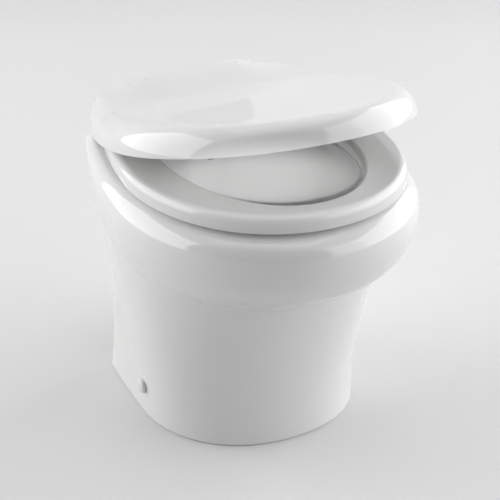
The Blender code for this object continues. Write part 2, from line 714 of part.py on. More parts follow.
def wall_at(y, height, side):
    """Point and outward normal of the china's outer wall on one side."""
    def surface(place, level):
        radii = china_radii(level)
        points = ring(radii, level)[: HALF_STATIONS + 1]
        return Vector((np.interp(place, points[:, 1], points[:, 0]), place, level))
    point = surface(y, height)
    step = CHINA_WALL
    along = surface(y + step, height) - surface(y - step, height)
    up = surface(y, height + step) - surface(y, height - step)
    normal = along.cross(up).normalized()
    point.x *= side
    normal.x *= side
    return point, normal


def seat_rings():
    """Closed section rings of the seat: bottom, outer edge, dished top, inner edge."""
    outer_x, outer_y = half_outline(SEAT_HALF_WIDTH, SEAT_NOSE, SEAT_NOSE_POWER_SHARE, SEAT_TAIL,
                                    SEAT_TAIL_POWER_SHARE, SEAT_BACK, SEAT_CORNER, MIDDLE_Y)
    hole_x, hole_y = half_outline(HOLE_HALF_WIDTH, HOLE_NOSE, SEAT_NOSE_POWER_SHARE,
                                  HOLE_BACK + HOLE_MIDDLE, SEAT_NOSE_POWER_SHARE, HOLE_BACK, BASIN_LIP,
                                  HOLE_MIDDLE)
    outer = to_radii(outer_x, outer_y)
    hole = to_radii(hole_x, hole_y)
    rings = []
    for turn in SEAT_OUTER_TURNS:
        lift = math.sin(math.radians(turn))
        draw = 1 - math.cos(math.radians(turn))
        edge = SEAT_EDGE if turn > 0 else SEAT_EDGE * SEAT_UNDER_SHARE
        level = SEAT_TOP - SEAT_EDGE + edge * lift if turn > 0 else SEAT_BOTTOM + edge * (1 + lift)
        rings.append(ring(outer - edge * draw, level))
    for turn in SEAT_INNER_TURNS:
        lift = math.sin(math.radians(turn))
        draw = 1 - math.cos(math.radians(turn))
        rings.append(ring(hole + SEAT_INNER_EDGE * draw, SEAT_TOP - SEAT_DISH - SEAT_INNER_EDGE * (1 - lift)))
    rings.append(ring(hole + SEAT_INNER_EDGE / 2, SEAT_BOTTOM))
    return rings


def seat_ring(pivot):
    """Solid ring with a roll at its back that turns on the hinge pins."""
    seat = finish(loft(seat_rings(), closed=True), "seat_ring", SEAT_WHITE, pivot, HINGE)
    front = MIDDLE_Y + SEAT_BACK - SEAT_CORNER / 2
    join(seat, block((-SEAT_ROLL_HALF, front, HINGE_Z - BLOCK_DROP),
                     (SEAT_ROLL_HALF, HINGE_Y, SEAT_TOP - SEAT_DISH)), "roll_block", pivot, HINGE)
    roll = aimed(turned(rod(SEAT_ROLL_RADIUS, 2 * SEAT_ROLL_HALF), WIDE_STEPS),
                 (-SEAT_ROLL_HALF, HINGE_Y, HINGE_Z), (1, 0, 0))
    join(seat, roll, "roll", pivot, HINGE)
    for side in (-1, 1):
        inner = side * (POST_X - POCKET_HALF)
        outer = side * (POST_X + POCKET_HALF)
        reach = ROLL_RADIUS + RUNNING_GAP
        pocket = block((min(inner, outer), HINGE_Y - reach, HINGE_Z - 2 * reach),
                       (max(inner, outer), HINGE_Y + reach, HINGE_Z + 2 * reach))
        cut(seat, pocket, "pocket_cutter", pivot, HINGE)
        bore = aimed(turned(rod(PIN_RADIUS + RUNNING_GAP, PIN_LENGTH + 2 * RUNNING_GAP)),
                     (side * (POST_X - PIN_LENGTH / 2 - RUNNING_GAP), HINGE_Y, HINGE_Z), (side, 0, 0))
        cut(seat, bore, "pin_bore_cutter", pivot, HINGE)
        seat_bore = aimed(turned(rod(DAMPER_RADIUS + TOUCH_GAP, DAMPER_LENGTH + CUT_OVERRUN)),
                          (side * (POST_X + POCKET_HALF - TOUCH_GAP), HINGE_Y, HINGE_Z), (side, 0, 0))
        cut(seat, seat_bore, "damper_bore_cutter", pivot, HINGE)
    return seat


def lid_crown(x, y):
    """Height of the lid's top: nearly flat, with a sweep up into a roll that fades to its ends."""
    sweep = smoothstep(y, HINGE_Y - SWEEP_REACH, HINGE_Y)
    roll = (HINGE_Z + ROLL_RADIUS - LID_TOP) * (1 - smoothstep(np.abs(x), ROLL_FULL, ROLL_GONE))
    side_fall = LID_FALL * (np.abs(x) / LID_HALF_WIDTH) ** LID_FALL_POWER_SHARE
    nose_fall = NOSE_FALL * np.clip((CHINA_CENTRE - y) / NOSE_FALL_REACH, 0, 1) ** 2
    return LID_TOP + roll * sweep - side_fall - nose_fall


def lid_rim():
    """The lid's outline, the edge of its flat top, how far the side falls from it, and the lower edge."""
    x, y = half_outline(LID_HALF_WIDTH, LID_NOSE, LID_NOSE_POWER_SHARE, LID_TAIL, LID_TAIL_POWER_SHARE,
                        LID_BACK, LID_CORNER, MIDDLE_Y)
    outline = ring(to_radii(x, y), 0)
    along = np.roll(outline, -1, axis=0) - np.roll(outline, 1, axis=0)
    normal = np.column_stack([along[:, 1], -along[:, 0], np.zeros(len(along))])
    normal /= np.linalg.norm(normal, axis=1, keepdims=True)
    rear = smoothstep(outline[:, 1], HINGE_Y - ROLL_SIDE_REACH, HINGE_Y)
    back = np.clip(normal[:, 1], 0, 1) ** 2 * rear
    flank = np.abs(normal[:, 0])
    inset = LID_INSET + (FLANK_INSET - LID_INSET) * flank
    inset += (REAR_INSET - inset) * rear
    drop = LID_EDGE + (FLANK_EDGE - LID_EDGE) * flank
    drop += (REAR_EDGE - drop) * rear
    rise = np.clip(lid_crown(outline[:, 0], HINGE_Y) - HINGE_Z, LID_WALL, ROLL_RADIUS)
    ledge = ROLL_LEDGE_SHARE * np.sqrt(ROLL_RADIUS ** 2 - rise ** 2)
    inset += (ROLL_RADIUS - ledge - inset) * back
    drop += (rise - drop) * back
    rim = outline - normal * inset[:, None]
    behind = np.clip(outline[:, 1] - HINGE_Y, 0, ROLL_RADIUS)
    low = HINGE_Z - np.sqrt(ROLL_RADIUS ** 2 - behind ** 2)
    low = np.where(behind > 0, np.maximum(low, SEAT_BOTTOM), SEAT_BOTTOM)
    low = np.minimum(low, HINGE_Z + ROLL_RADIUS * math.sin(ROLL_ENDS))
    drop = np.minimum(drop, lid_crown(rim[:, 0], rim[:, 1]) - low - LID_WALL / 4)
    return outline, rim, drop, low


def lid_grid():
    """Outer rings of the lid from near its middle to its lower edge, in the closed position."""
    outline, rim, drop, low = lid_rim()
    middle = np.array([0, CHINA_CENTRE, 0])
    rings = []
    for share in LID_RING_SHARES:
        points = middle + (rim - middle) * share
        points[:, 2] = lid_crown(points[:, 0], points[:, 1]) - LID_DISH * (1 - share ** LID_DISH_POWER_SHARE)
        rings.append(points)
    top = lid_crown(rim[:, 0], rim[:, 1])
    for turn in LID_EDGE_TURNS:
        points = rim + (outline - rim) * math.sin(math.radians(turn))
        points[:, 2] = top - drop * (1 - math.cos(math.radians(turn)))
        rings.append(points)
    for share in SKIRT_SHARES:
        points = outline.copy()
        points[:, 2] = top - drop + (low - top + drop) * share
        rings.append(points)
    return np.array(rings)


def lid_underside(x, y):
    """Height of the lid's inner face over a place, in the closed position."""
    rim = lid_rim()[1][: HALF_STATIONS + 1]
    reach = np.interp(math.atan2(y - CHINA_CENTRE, x), ANGLES, np.hypot(rim[:, 0], rim[:, 1] - CHINA_CENTRE))
    share = math.hypot(x, y - CHINA_CENTRE) / reach
    return float(lid_crown(x, y)) - LID_DISH * (1 - share ** LID_DISH_POWER_SHARE) - LID_WALL


def lid(pivot):
    """Shell lid: outer skin, inner skin and lower edge, with hinge lugs and post notches."""
    outer = lid_grid()
    inner = offset(outer, LID_WALL)
    inner[-1][:, 2] = outer[-1][:, 2]
    rings = list(inner) + list(outer[::-1])
    shell = finish(loft(rings, closed=False), "lid", SEAT_WHITE, pivot, HINGE)
    for side in (-1, 1):
        middle = side * POST_X
        reach = ROLL_RADIUS + CUT_OVERRUN
        wedge = [(HINGE_Y, HINGE_Z)] + arc((HINGE_Y, HINGE_Z), reach, -NOTCH_BELOW, NOTCH_TOP, ARC_STEPS)
        cut(shell, extruded(wedge, "X", middle - NOTCH_HALF_WIDTH, middle + NOTCH_HALF_WIDTH),
            "notch_cutter", pivot, HINGE)
        for face in (-1, 1):
            near = middle + face * (POST_WIDTH / 2 + LUG_GAP)
            far = near + face * LUG_WIDTH
            top = lid_crown(far, HINGE_Y) - LID_WALL + JOIN_OVERLAP / 2
            lug = arc((HINGE_Y, HINGE_Z), LUG_RADIUS, math.pi, 2 * math.pi, ARC_STEPS)
            lug += [(HINGE_Y + LUG_RADIUS, top), (HINGE_Y - LUG_RADIUS, top)]
            join(shell, extruded(lug, "X", min(near, far), max(near, far)), "lug", pivot, HINGE)
        bore = aimed(turned(rod(PIN_RADIUS + RUNNING_GAP, PIN_LENGTH)),
                     (side * (POST_X - PIN_LENGTH / 2), HINGE_Y, HINGE_Z), (side, 0, 0))
        cut(shell, bore, "lug_bore_cutter", pivot, HINGE)
    return shell


def hinge(side, label, seat_pivot):
    """Post on the deck, its pin, the damper in the seat's roll, and the stud, washer and nut below."""
    base = RIM_HEIGHT + TOUCH_GAP
    post = finish(aimed(turned(rod(FLANGE_RADIUS, FLANGE_HEIGHT)), (side * POST_X, HINGE_Y, base), (0, 0, 1)),
                  "hinge_post_" + label, CHROME)
    half = POST_WIDTH / 2
    join(post, block((side * POST_X - half, HINGE_Y - POST_DEPTH / 2, base + FLANGE_HEIGHT / 2),
                     (side * POST_X + half, HINGE_Y + POST_DEPTH / 2, HINGE_Z)), "stem")
    join(post, aimed(turned(rod(POST_RADIUS, POST_WIDTH)), (side * POST_X - half, HINGE_Y, HINGE_Z),
                     (1, 0, 0)), "barrel")
    cut(post, aimed(turned(rod(PIN_RADIUS + TOUCH_GAP, POST_WIDTH + 2 * CUT_OVERRUN)),
                    (side * POST_X - half - CUT_OVERRUN, HINGE_Y, HINGE_Z), (1, 0, 0)), "post_bore_cutter")
    cut(post, aimed(turned(rod(STUD_RADIUS + TOUCH_GAP, CUT_OVERRUN)),
                    (side * POST_X, HINGE_Y, base + STUD_GRIP + TOUCH_GAP - CUT_OVERRUN), (0, 0, 1)),
        "stud_socket_cutter")
    finish(aimed(turned(rod(PIN_RADIUS, PIN_LENGTH)), (side * (POST_X - PIN_LENGTH / 2), HINGE_Y, HINGE_Z),
                 (side, 0, 0)), "hinge_pin_" + label, STEEL)
    damper = tube(DAMPER_RADIUS, PIN_RADIUS + RUNNING_GAP, DAMPER_LENGTH)
    finish(aimed(turned(damper), (side * (POST_X + POCKET_HALF), HINGE_Y, HINGE_Z), (side, 0, 0)),
           "hinge_damper_" + label, NYLON, seat_pivot, HINGE)
    stud_top = base + STUD_GRIP
    finish(aimed(turned(rod(STUD_RADIUS, STUD_LENGTH)), (side * POST_X, HINGE_Y, stud_top - STUD_LENGTH),
                 (0, 0, 1)), "hinge_stud_" + label, STEEL)
    washer_bottom = RIM_HEIGHT - DECK_THICKNESS - TOUCH_GAP - WASHER_HEIGHT
    finish(aimed(turned(tube(WASHER_RADIUS, STUD_RADIUS + TOUCH_GAP, WASHER_HEIGHT)),
                 (side * POST_X, HINGE_Y, washer_bottom), (0, 0, 1)), "hinge_washer_" + label, RUBBER)
    hex_nut("hinge_nut_" + label, (side * POST_X, HINGE_Y, washer_bottom - TOUCH_GAP - NUT_HEIGHT), (0, 0, 1),
            NUT_RADIUS, STUD_RADIUS + TOUCH_GAP, NUT_HEIGHT, NYLON)


def bumpers(seat_pivot, lid_pivot):
    """Soft feet under the seat, and pads under the lid that meet the seat's top."""
    nose_y = MIDDLE_Y - SEAT_NOSE + BUMPER_NOSE_INSET
    side_x = SEAT_HALF_WIDTH - BUMPER_SIDE_INSET
    side_y = MIDDLE_Y + BUMPER_SIDE_SETBACK
    places = {"nose_left": (-BUMPER_NOSE_X, nose_y), "nose_right": (BUMPER_NOSE_X, nose_y),
              "side_left": (-side_x, side_y), "side_right": (side_x, side_y)}
    for label, (x, y) in places.items():
        pad = turned(rod(BUMPER_RADIUS, SEAT_GAP - 2 * TOUCH_GAP))
        finish(aimed(pad, (x, y, RIM_HEIGHT + TOUCH_GAP), (0, 0, 1)), "seat_bumper_" + label, SOFT_WHITE,
               seat_pivot, HINGE)
    for label, side in (("left", -1), ("right", 1)):
        y = MIDDLE_Y - SEAT_NOSE + LID_BUMPER_INSET
        height = lid_underside(LID_BUMPER_X, y) - SEAT_TOP - 2 * TOUCH_GAP
        pad = turned(rod(BUMPER_RADIUS, height))
        finish(aimed(pad, (side * LID_BUMPER_X, y, SEAT_TOP + TOUCH_GAP), (0, 0, 1)),
               "lid_bumper_" + label, SOFT_WHITE, lid_pivot, HINGE)


def side_fixing(side, label):
    """Floor bracket inside the foot, its floor bolt, the screw through the wall and its cap."""
    point, normal = wall_at(FIXING_Y, FIXING_HEIGHT, side)
    cap = [(0, CAP_DEPTH), (CAP_RADIUS * CAP_CROWN_SHARE, CAP_DEPTH),
           (CAP_RADIUS, CAP_DEPTH * CAP_EDGE_SHARE), (CAP_RADIUS, 0),
           (CAP_POCKET_RADIUS, 0), (CAP_POCKET_RADIUS, CAP_POCKET_DEPTH), (0, CAP_POCKET_DEPTH)]
    finish(aimed(turned(cap), point + normal * (2 * TOUCH_GAP), normal), "screw_cap_" + label, SOFT_WHITE)
    screw = [(0, SCREW_HEAD_DEPTH), (SCREW_HEAD_RADIUS, SCREW_HEAD_DEPTH), (SCREW_HEAD_RADIUS, 0),
             (SCREW_RADIUS, 0), (SCREW_RADIUS, -SCREW_LENGTH), (0, -SCREW_LENGTH)]
    finish(aimed(turned(screw), point + normal * (2 * TOUCH_GAP), normal), "side_screw_" + label, STEEL)
    outer = abs(point.x) - CHINA_WALL - BRACKET_CLEAR
    face = outer - BRACKET_THICKNESS
    section = [(face, BRACKET_HEIGHT), (outer, BRACKET_HEIGHT), (outer, 0), (outer - BRACKET_FOOT, 0),
               (outer - BRACKET_FOOT, BRACKET_THICKNESS), (face, BRACKET_THICKNESS)]
    flipped = [(side * x, z) for x, z in section]
    bracket = finish(extruded(flipped, "Y", FIXING_Y - BRACKET_WIDTH / 2, FIXING_Y + BRACKET_WIDTH / 2),
                     "floor_bracket_" + label, NYLON)
    hole = rod(SCREW_RADIUS + TOUCH_GAP, SCREW_LENGTH + CUT_OVERRUN)
    cut(bracket, aimed(turned(hole), point + normal * CUT_OVERRUN - normal * (SCREW_LENGTH + 2 * CUT_OVERRUN),
                       normal), "bracket_hole_cutter")
    bolt_x = side * (outer - BRACKET_FOOT / 2 - BRACKET_THICKNESS)
    cut(bracket, aimed(turned(rod(FLOOR_BOLT_RADIUS + TOUCH_GAP, 2 * CUT_OVERRUN)),
                       (bolt_x, FIXING_Y, -CUT_OVERRUN), (0, 0, 1)), "floor_hole_cutter")
    bolt = [(0, 0), (FLOOR_BOLT_RADIUS, 0), (FLOOR_BOLT_RADIUS, BRACKET_THICKNESS + TOUCH_GAP),
            (FLOOR_HEAD_RADIUS, BRACKET_THICKNESS + TOUCH_GAP),
            (FLOOR_HEAD_RADIUS, BRACKET_THICKNESS + FLOOR_HEAD_HEIGHT),
            (0, BRACKET_THICKNESS + FLOOR_HEAD_HEIGHT)]
    finish(aimed(turned(bolt), (bolt_x, FIXING_Y, 0), (0, 0, 1)), "floor_bolt_" + label, STEEL)


def along_y(name, profile, start, shade, steps=ROUND_STEPS, height=PUMP_HEIGHT):
    """A turned piece on the pump's axis, its profile measured back from a start."""
    return finish(aimed(turned(profile, steps), (0, start, height), (0, 1, 0)), name, shade)


def macerator():
    """Cup under the outlet with the pump's volute behind it, and the plate that closes the volute."""
    gasket = tube(CUP_RADIUS - TOUCH_GAP, around(SPIGOT_RADIUS, WIDE_STEPS), CUP_LAP + GASKET_HANG)
    finish(aimed(turned(gasket, WIDE_STEPS), (0, OUTLET_Y, SPIGOT_BOTTOM - GASKET_HANG), (0, 0, 1)),
           "outlet_gasket", RUBBER)
    housing = finish(aimed(turned(rod(CUP_OUTER, CUP_TOP - CUP_BOTTOM), WIDE_STEPS),
                           (0, OUTLET_Y, CUP_BOTTOM), (0, 0, 1)), "macerator_housing", NYLON)
    front = OUTLET_Y + CUP_RADIUS / 2
    join(housing, aimed(turned(rod(VOLUTE_RADIUS, VOLUTE_BACK - front), WIDE_STEPS), (0, front, PUMP_HEIGHT),
                        (0, 1, 0)), "volute")
    join(housing, aimed(turned(rod(STUB_RADIUS, STUB_X)), (0, STUB_Y, STUB_Z), (1, 0, 0)), "stub")
    cut(housing, aimed(turned(rod(CUP_RADIUS, CUP_TOP), WIDE_STEPS), (0, OUTLET_Y, CUP_BOTTOM + CUP_WALL),
                       (0, 0, 1)), "cup_cutter")
    cut(housing, aimed(turned(rod(VOLUTE_RADIUS - VOLUTE_WALL, CUT_OVERRUN + VOLUTE_LENGTH), WIDE_STEPS),
                       (0, VOLUTE_FRONT, PUMP_HEIGHT), (0, 1, 0)), "cavity_cutter")
    cut(housing, aimed(turned(rod(NECK_RADIUS, VOLUTE_BACK - OUTLET_Y)), (0, OUTLET_Y, PUMP_HEIGHT),
                       (0, 1, 0)), "neck_cutter")
    cut(housing, aimed(turned(rod(STUB_BORE, STUB_X)), (VOLUTE_WALL, STUB_Y, STUB_Z), (1, 0, 0)),
        "stub_bore_cutter")
    plate = [(VOLUTE_RADIUS, 0), (VOLUTE_RADIUS, PLATE_THICKNESS), (SEAL_RADIUS + TOUCH_GAP, PLATE_THICKNESS),
             (SEAL_RADIUS + TOUCH_GAP, PLATE_THICKNESS - SEAL_DEPTH),
             (SHAFT_RADIUS + RUNNING_GAP, PLATE_THICKNESS - SEAL_DEPTH), (SHAFT_RADIUS + RUNNING_GAP, 0)]
    along_y("pump_back_plate", plate, VOLUTE_BACK + TOUCH_GAP, NYLON, WIDE_STEPS)
    along_y("shaft_seal", tube(SEAL_RADIUS, SHAFT_RADIUS + RUNNING_GAP, SEAL_DEPTH - TOUCH_GAP),
            VOLUTE_BACK + PLATE_THICKNESS - SEAL_DEPTH + 2 * TOUCH_GAP, RUBBER)


def motor():
    """Case, end cap, bearings, magnets and the wiring box of the pump's motor."""
    inner = MOTOR_RADIUS - MOTOR_WALL
    seat = BEARING_RADIUS + TOUCH_GAP
    case = [(MOTOR_RADIUS, 0), (MOTOR_RADIUS, MOTOR_LENGTH), (inner, MOTOR_LENGTH), (inner, MOTOR_FACE),
            (seat, MOTOR_FACE), (seat, 0)]
    along_y("motor_case", case, MOTOR_FRONT, MOTOR_PAINT, WIDE_STEPS)
    ring_profile = tube(BEARING_RADIUS, SHAFT_RADIUS + TOUCH_GAP, BEARING_DEPTH)
    along_y("front_bearing", ring_profile, MOTOR_FRONT + TOUCH_GAP, STEEL)
    cap_start = MOTOR_BACK + TOUCH_GAP
    pocket = BEARING_DEPTH + 2 * TOUCH_GAP
    cap = [(0, CAP_END_DEPTH), (MOTOR_RADIUS * CAP_END_SHARE, CAP_END_DEPTH),
           (MOTOR_RADIUS, CAP_END_DEPTH * CAP_SIDE_SHARE), (MOTOR_RADIUS, 0), (seat, 0), (seat, pocket),
           (0, pocket)]
    along_y("motor_end_cap", cap, cap_start, MOTOR_PAINT, WIDE_STEPS)
    along_y("rear_bearing", ring_profile, cap_start + TOUCH_GAP, STEEL)
    shaft_end = cap_start + BEARING_DEPTH
    along_y("motor_shaft", rod(SHAFT_RADIUS, shaft_end - SHAFT_FRONT), SHAFT_FRONT, STEEL)
    rotor_start = MOTOR_FRONT + ROTOR_OFFSET
    along_y("motor_rotor", tube(ROTOR_RADIUS, SHAFT_RADIUS + TOUCH_GAP, ROTOR_LENGTH), rotor_start, COPPER)
    along_y("commutator", tube(COMMUTATOR_RADIUS, SHAFT_RADIUS + TOUCH_GAP, COMMUTATOR_LENGTH),
            rotor_start + ROTOR_LENGTH + TOUCH_GAP, COPPER)
    for label, middle in (("left", math.pi), ("right", 0)):
        low = middle - MAGNET_SPAN / 2
        high = middle + MAGNET_SPAN / 2
        outer = inner * math.cos(math.pi / WIDE_STEPS) - TOUCH_GAP
        outline = arc((0, PUMP_HEIGHT), outer, low, high, ARC_STEPS)
        outline += arc((0, PUMP_HEIGHT), ROTOR_RADIUS + MAGNET_GAP, high, low, ARC_STEPS)
        magnet = extruded(outline, "Y", rotor_start, rotor_start + ROTOR_LENGTH)
        finish(magnet, "motor_magnet_" + label, MAGNET)
    box_end = MOTOR_BACK - TERMINAL_SET_BACK
    box = finish(block((-TERMINAL_WIDTH / 2, box_end - TERMINAL_LENGTH, PUMP_HEIGHT),
                       (TERMINAL_WIDTH / 2, box_end, PUMP_HEIGHT + MOTOR_RADIUS + TERMINAL_HEIGHT)),
                 "terminal_box", NYLON)
    cut(box, aimed(turned(rod(MOTOR_RADIUS + TOUCH_GAP, MOTOR_LENGTH), WIDE_STEPS),
                   (0, MOTOR_FRONT, PUMP_HEIGHT), (0, 1, 0)), "box_saddle_cutter")


def motor_mount():
    """Saddle on the floor that carries the motor, and the strap that holds it down."""
    start = MOTOR_FRONT + SADDLE_OFFSET - SADDLE_LENGTH / 2
    ear = SADDLE_HALF_WIDTH + STRAP_EAR
    saddle = finish(block((-ear, start, 0), (ear, start + SADDLE_LENGTH, PUMP_HEIGHT)), "pump_saddle", NYLON)
    cut(saddle, aimed(turned(rod(MOTOR_RADIUS + TOUCH_GAP, MOTOR_LENGTH), WIDE_STEPS),
                      (0, MOTOR_FRONT - CUT_OVERRUN, PUMP_HEIGHT), (0, 1, 0)), "saddle_cutter")
    inner = MOTOR_RADIUS + TOUCH_GAP
    outer = inner + STRAP_THICKNESS
    foot = PUMP_HEIGHT + TOUCH_GAP
    outline = [(ear, foot), (ear, foot + STRAP_THICKNESS)]
    bend = math.asin(STRAP_THICKNESS / outer)
    outline += arc((0, foot), outer, bend, math.pi - bend, ROUND_STEPS)
    outline += [(-ear, foot + STRAP_THICKNESS), (-ear, foot)]
    outline += arc((0, foot), inner, math.pi, 0, ROUND_STEPS)
    middle = start + SADDLE_LENGTH / 2
    finish(extruded(outline, "Y", middle - STRAP_WIDTH / 2, middle + STRAP_WIDTH / 2), "motor_strap", STEEL)


def spinning_parts():
    """Impeller, chopper blade and its nut, all on the motor's shaft."""
    bore = SHAFT_RADIUS + TOUCH_GAP
    start = VOLUTE_BACK - IMPELLER_DEPTH - 2 * RUNNING_GAP
    disc_front = IMPELLER_DEPTH - VANE_THICKNESS
    profile = [(IMPELLER_HUB, 0), (IMPELLER_HUB, disc_front), (IMPELLER_RADIUS, disc_front),
               (IMPELLER_RADIUS, IMPELLER_DEPTH), (bore, IMPELLER_DEPTH), (bore, 0)]
    wheel = along_y("impeller", profile, start, BRASS)
    for turn in range(VANE_COUNT):
        tip = IMPELLER_RADIUS - JOIN_OVERLAP
        vane = block((IMPELLER_HUB - JOIN_OVERLAP, start + JOIN_OVERLAP, -VANE_THICKNESS / 2),
                     (tip, start + disc_front + JOIN_OVERLAP / 2, VANE_THICKNESS / 2))
        place = Matrix.Rotation(turn * 2 * math.pi / VANE_COUNT + math.pi / ROUND_STEPS, 3, "Y")
        bmesh.ops.rotate(vane, verts=vane.verts, cent=(0, 0, 0), matrix=place)
        bmesh.ops.translate(vane, verts=vane.verts, vec=Vector((0, 0, PUMP_HEIGHT)))
        join(wheel, vane, "vane_" + str(turn))
    blade_start = SHAFT_FRONT + BLADE_NUT_DEPTH + TOUCH_GAP
    blade = finish(block((-BLADE_LENGTH / 2, blade_start, PUMP_HEIGHT - BLADE_WIDTH / 2),
                         (BLADE_LENGTH / 2, blade_start + BLADE_THICKNESS, PUMP_HEIGHT + BLADE_WIDTH / 2)),
                   "chopper_blade", STEEL)
    start = blade_start - CUT_OVERRUN
    cut(blade, aimed(turned(rod(bore, 2 * CUT_OVERRUN)), (0, start, PUMP_HEIGHT), (0, 1, 0)),
        "blade_bore_cutter")
    hex_nut("blade_nut", (0, SHAFT_FRONT, PUMP_HEIGHT), (0, 1, 0), BLADE_NUT_RADIUS, bore,
            BLADE_NUT_DEPTH, STEEL)


def swept(points, radii, steps):
    """A tube along a smooth route: one radius gives a solid, two give a bored tube."""
    route = [Vector(point) for point in points]
    frames = []
    side = None
    for index, point in enumerate(route):
        before = route[max(index - 1, 0)]
        after = route[min(index + 1, len(route) - 1)]
        heading = (after - before).normalized()
        if side is None:
            side = heading.orthogonal().normalized()
        side = (side - heading * side.dot(heading)).normalized()
        frames.append((point, side.copy(), heading.cross(side)))

    def ring_at(frame, radius):
        point, first, second = frame
        turns = [2 * math.pi * index / steps for index in range(steps)]
        return [point + first * radius * math.cos(turn) + second * radius * math.sin(turn) for turn in turns]
    outer = [ring_at(frame, radii[0]) for frame in frames]
    if len(radii) == 1:
        return loft(outer, closed=False)
    inner = [ring_at(frame, radii[1]) for frame in reversed(frames)]
    return loft(outer + inner, closed=True)


def discharge():
    """Pipe from the pump's stub to the back, its union nut and the duckbill valve in its bore."""
    start_x = STUB_X + TOUCH_GAP
    centre = (start_x + UNION_LENGTH / 2, STUB_Y + PIPE_BEND)
    bend = arc(centre, PIPE_BEND, -math.pi / 2, 0, BEND_STEPS)
    route = [(start_x, STUB_Y, STUB_Z)] + [(x, y, STUB_Z) for x, y in bend]
    pipe_x = centre[0] + PIPE_BEND
    duckbill_y = centre[1] + DUCKBILL_SETBACK
    route += [(pipe_x, duckbill_y, STUB_Z), (pipe_x, PIPE_END_Y, STUB_Z)]
    finish(swept(route, (STUB_RADIUS, STUB_BORE), ROUND_STEPS), "discharge_pipe", PIPE_WHITE)
    sleeve = around(STUB_RADIUS)
    nut = tube(sleeve + UNION_WALL, sleeve, UNION_LENGTH)
    finish(aimed(turned(nut), (STUB_X - UNION_LENGTH / 2, STUB_Y, STUB_Z), (1, 0, 0)), "discharge_union_nut",
           PIPE_WHITE)
    outer = STUB_BORE * math.cos(math.pi / ROUND_STEPS) - TOUCH_GAP
    small = outer * DUCKBILL_SHARE
    sleeve_end = DUCKBILL_LENGTH * DUCKBILL_SLEEVE_SHARE
    bill = [(outer, 0), (outer, sleeve_end), (small, DUCKBILL_LENGTH),
            (small - DUCKBILL_WALL, DUCKBILL_LENGTH), (outer - DUCKBILL_WALL, sleeve_end),
            (outer - DUCKBILL_WALL, 0)]
    finish(aimed(turned(bill), (pipe_x, duckbill_y, STUB_Z), (0, 1, 0)), "duckbill_valve", RUBBER)


def water_valve():
    """Solenoid valve behind the bowl: body, inlet, guide tube, coil, plunger and spring."""
    centre = Vector((VALVE_X, VALVE_Y, VALVE_HEIGHT))
    half = Vector((0, VALVE_LENGTH / 2, 0))
    body = finish(aimed(turned(rod(VALVE_RADIUS, VALVE_LENGTH)), centre - half, (0, 1, 0)),
                  "water_valve_body", PIPE_WHITE)
    barb_reach = VALVE_RADIUS + OUTLET_BARB_LENGTH
    join(body, aimed(turned(rod(BOSS_RADIUS, BOSS_HEIGHT)), centre, (0, 0, 1)), "boss")
    join(body, aimed(turned(rod(OUTLET_BARB, barb_reach)), centre, (-1, 0, 0)), "barb")
    cut(body, aimed(turned(rod(WATER_BORE, VALVE_LENGTH)), centre, (0, 1, 0)), "inlet_bore_cutter")
    cut(body, aimed(turned(rod(WATER_BORE, 2 * barb_reach)), centre, (-1, 0, 0)), "barb_bore_cutter")
    bore = PLUNGER_RADIUS + RUNNING_GAP
    cut(body, aimed(turned(rod(bore, 2 * BOSS_HEIGHT)), centre - Vector((0, 0, WATER_BORE)), (0, 0, 1)),
        "plunger_bore_cutter")
    back = centre + half + Vector((0, TOUCH_GAP, 0))
    finish(aimed(turned(tube(INLET_RADIUS, WATER_BORE, PIPE_END_Y - back.y)), back, (0, 1, 0)),
           "inlet_fitting", BRASS)
    base = VALVE_HEIGHT + BOSS_HEIGHT + TOUCH_GAP
    outer = bore + GUIDE_WALL
    guide = [(BOSS_RADIUS, 0), (BOSS_RADIUS, GUIDE_WALL), (outer, GUIDE_WALL), (outer, GUIDE_HEIGHT),
             (0, GUIDE_HEIGHT), (0, GUIDE_HEIGHT - GUIDE_WALL), (bore, GUIDE_HEIGHT - GUIDE_WALL), (bore, 0)]
    finish(aimed(turned(guide), (VALVE_X, VALVE_Y, base), (0, 0, 1)), "plunger_guide", STEEL)
    coil = tube(COIL_RADIUS, outer + TOUCH_GAP, COIL_HEIGHT)
    finish(aimed(turned(coil), (VALVE_X, VALVE_Y, base + GUIDE_WALL + TOUCH_GAP), (0, 0, 1)),
           "solenoid_coil", NYLON)
    spring_high = base + GUIDE_HEIGHT - GUIDE_WALL - TOUCH_GAP - SPRING_WIRE
    spring_low = spring_high - SPRING_LENGTH
    plunger_low = VALVE_HEIGHT - WATER_BORE + PLUNGER_SEAT_GAP
    plunger = rod(PLUNGER_RADIUS, spring_low - SPRING_WIRE - TOUCH_GAP - plunger_low)
    finish(aimed(turned(plunger), (VALVE_X, VALVE_Y, plunger_low), (0, 0, 1)), "valve_plunger", STEEL)
    count = SPRING_TURNS * SPRING_POINTS
    helix = []
    for index in range(count + 1):
        turn = 2 * math.pi * index / SPRING_POINTS
        wave = Vector((math.cos(turn), math.sin(turn), 0)) * SPRING_RADIUS
        helix.append(Vector((VALVE_X, VALVE_Y, spring_low + SPRING_LENGTH * index / count)) + wave)
    finish(swept(helix, (SPRING_WIRE,), SPRING_SIDES), "plunger_spring", STEEL)
    return VALVE_X - barb_reach


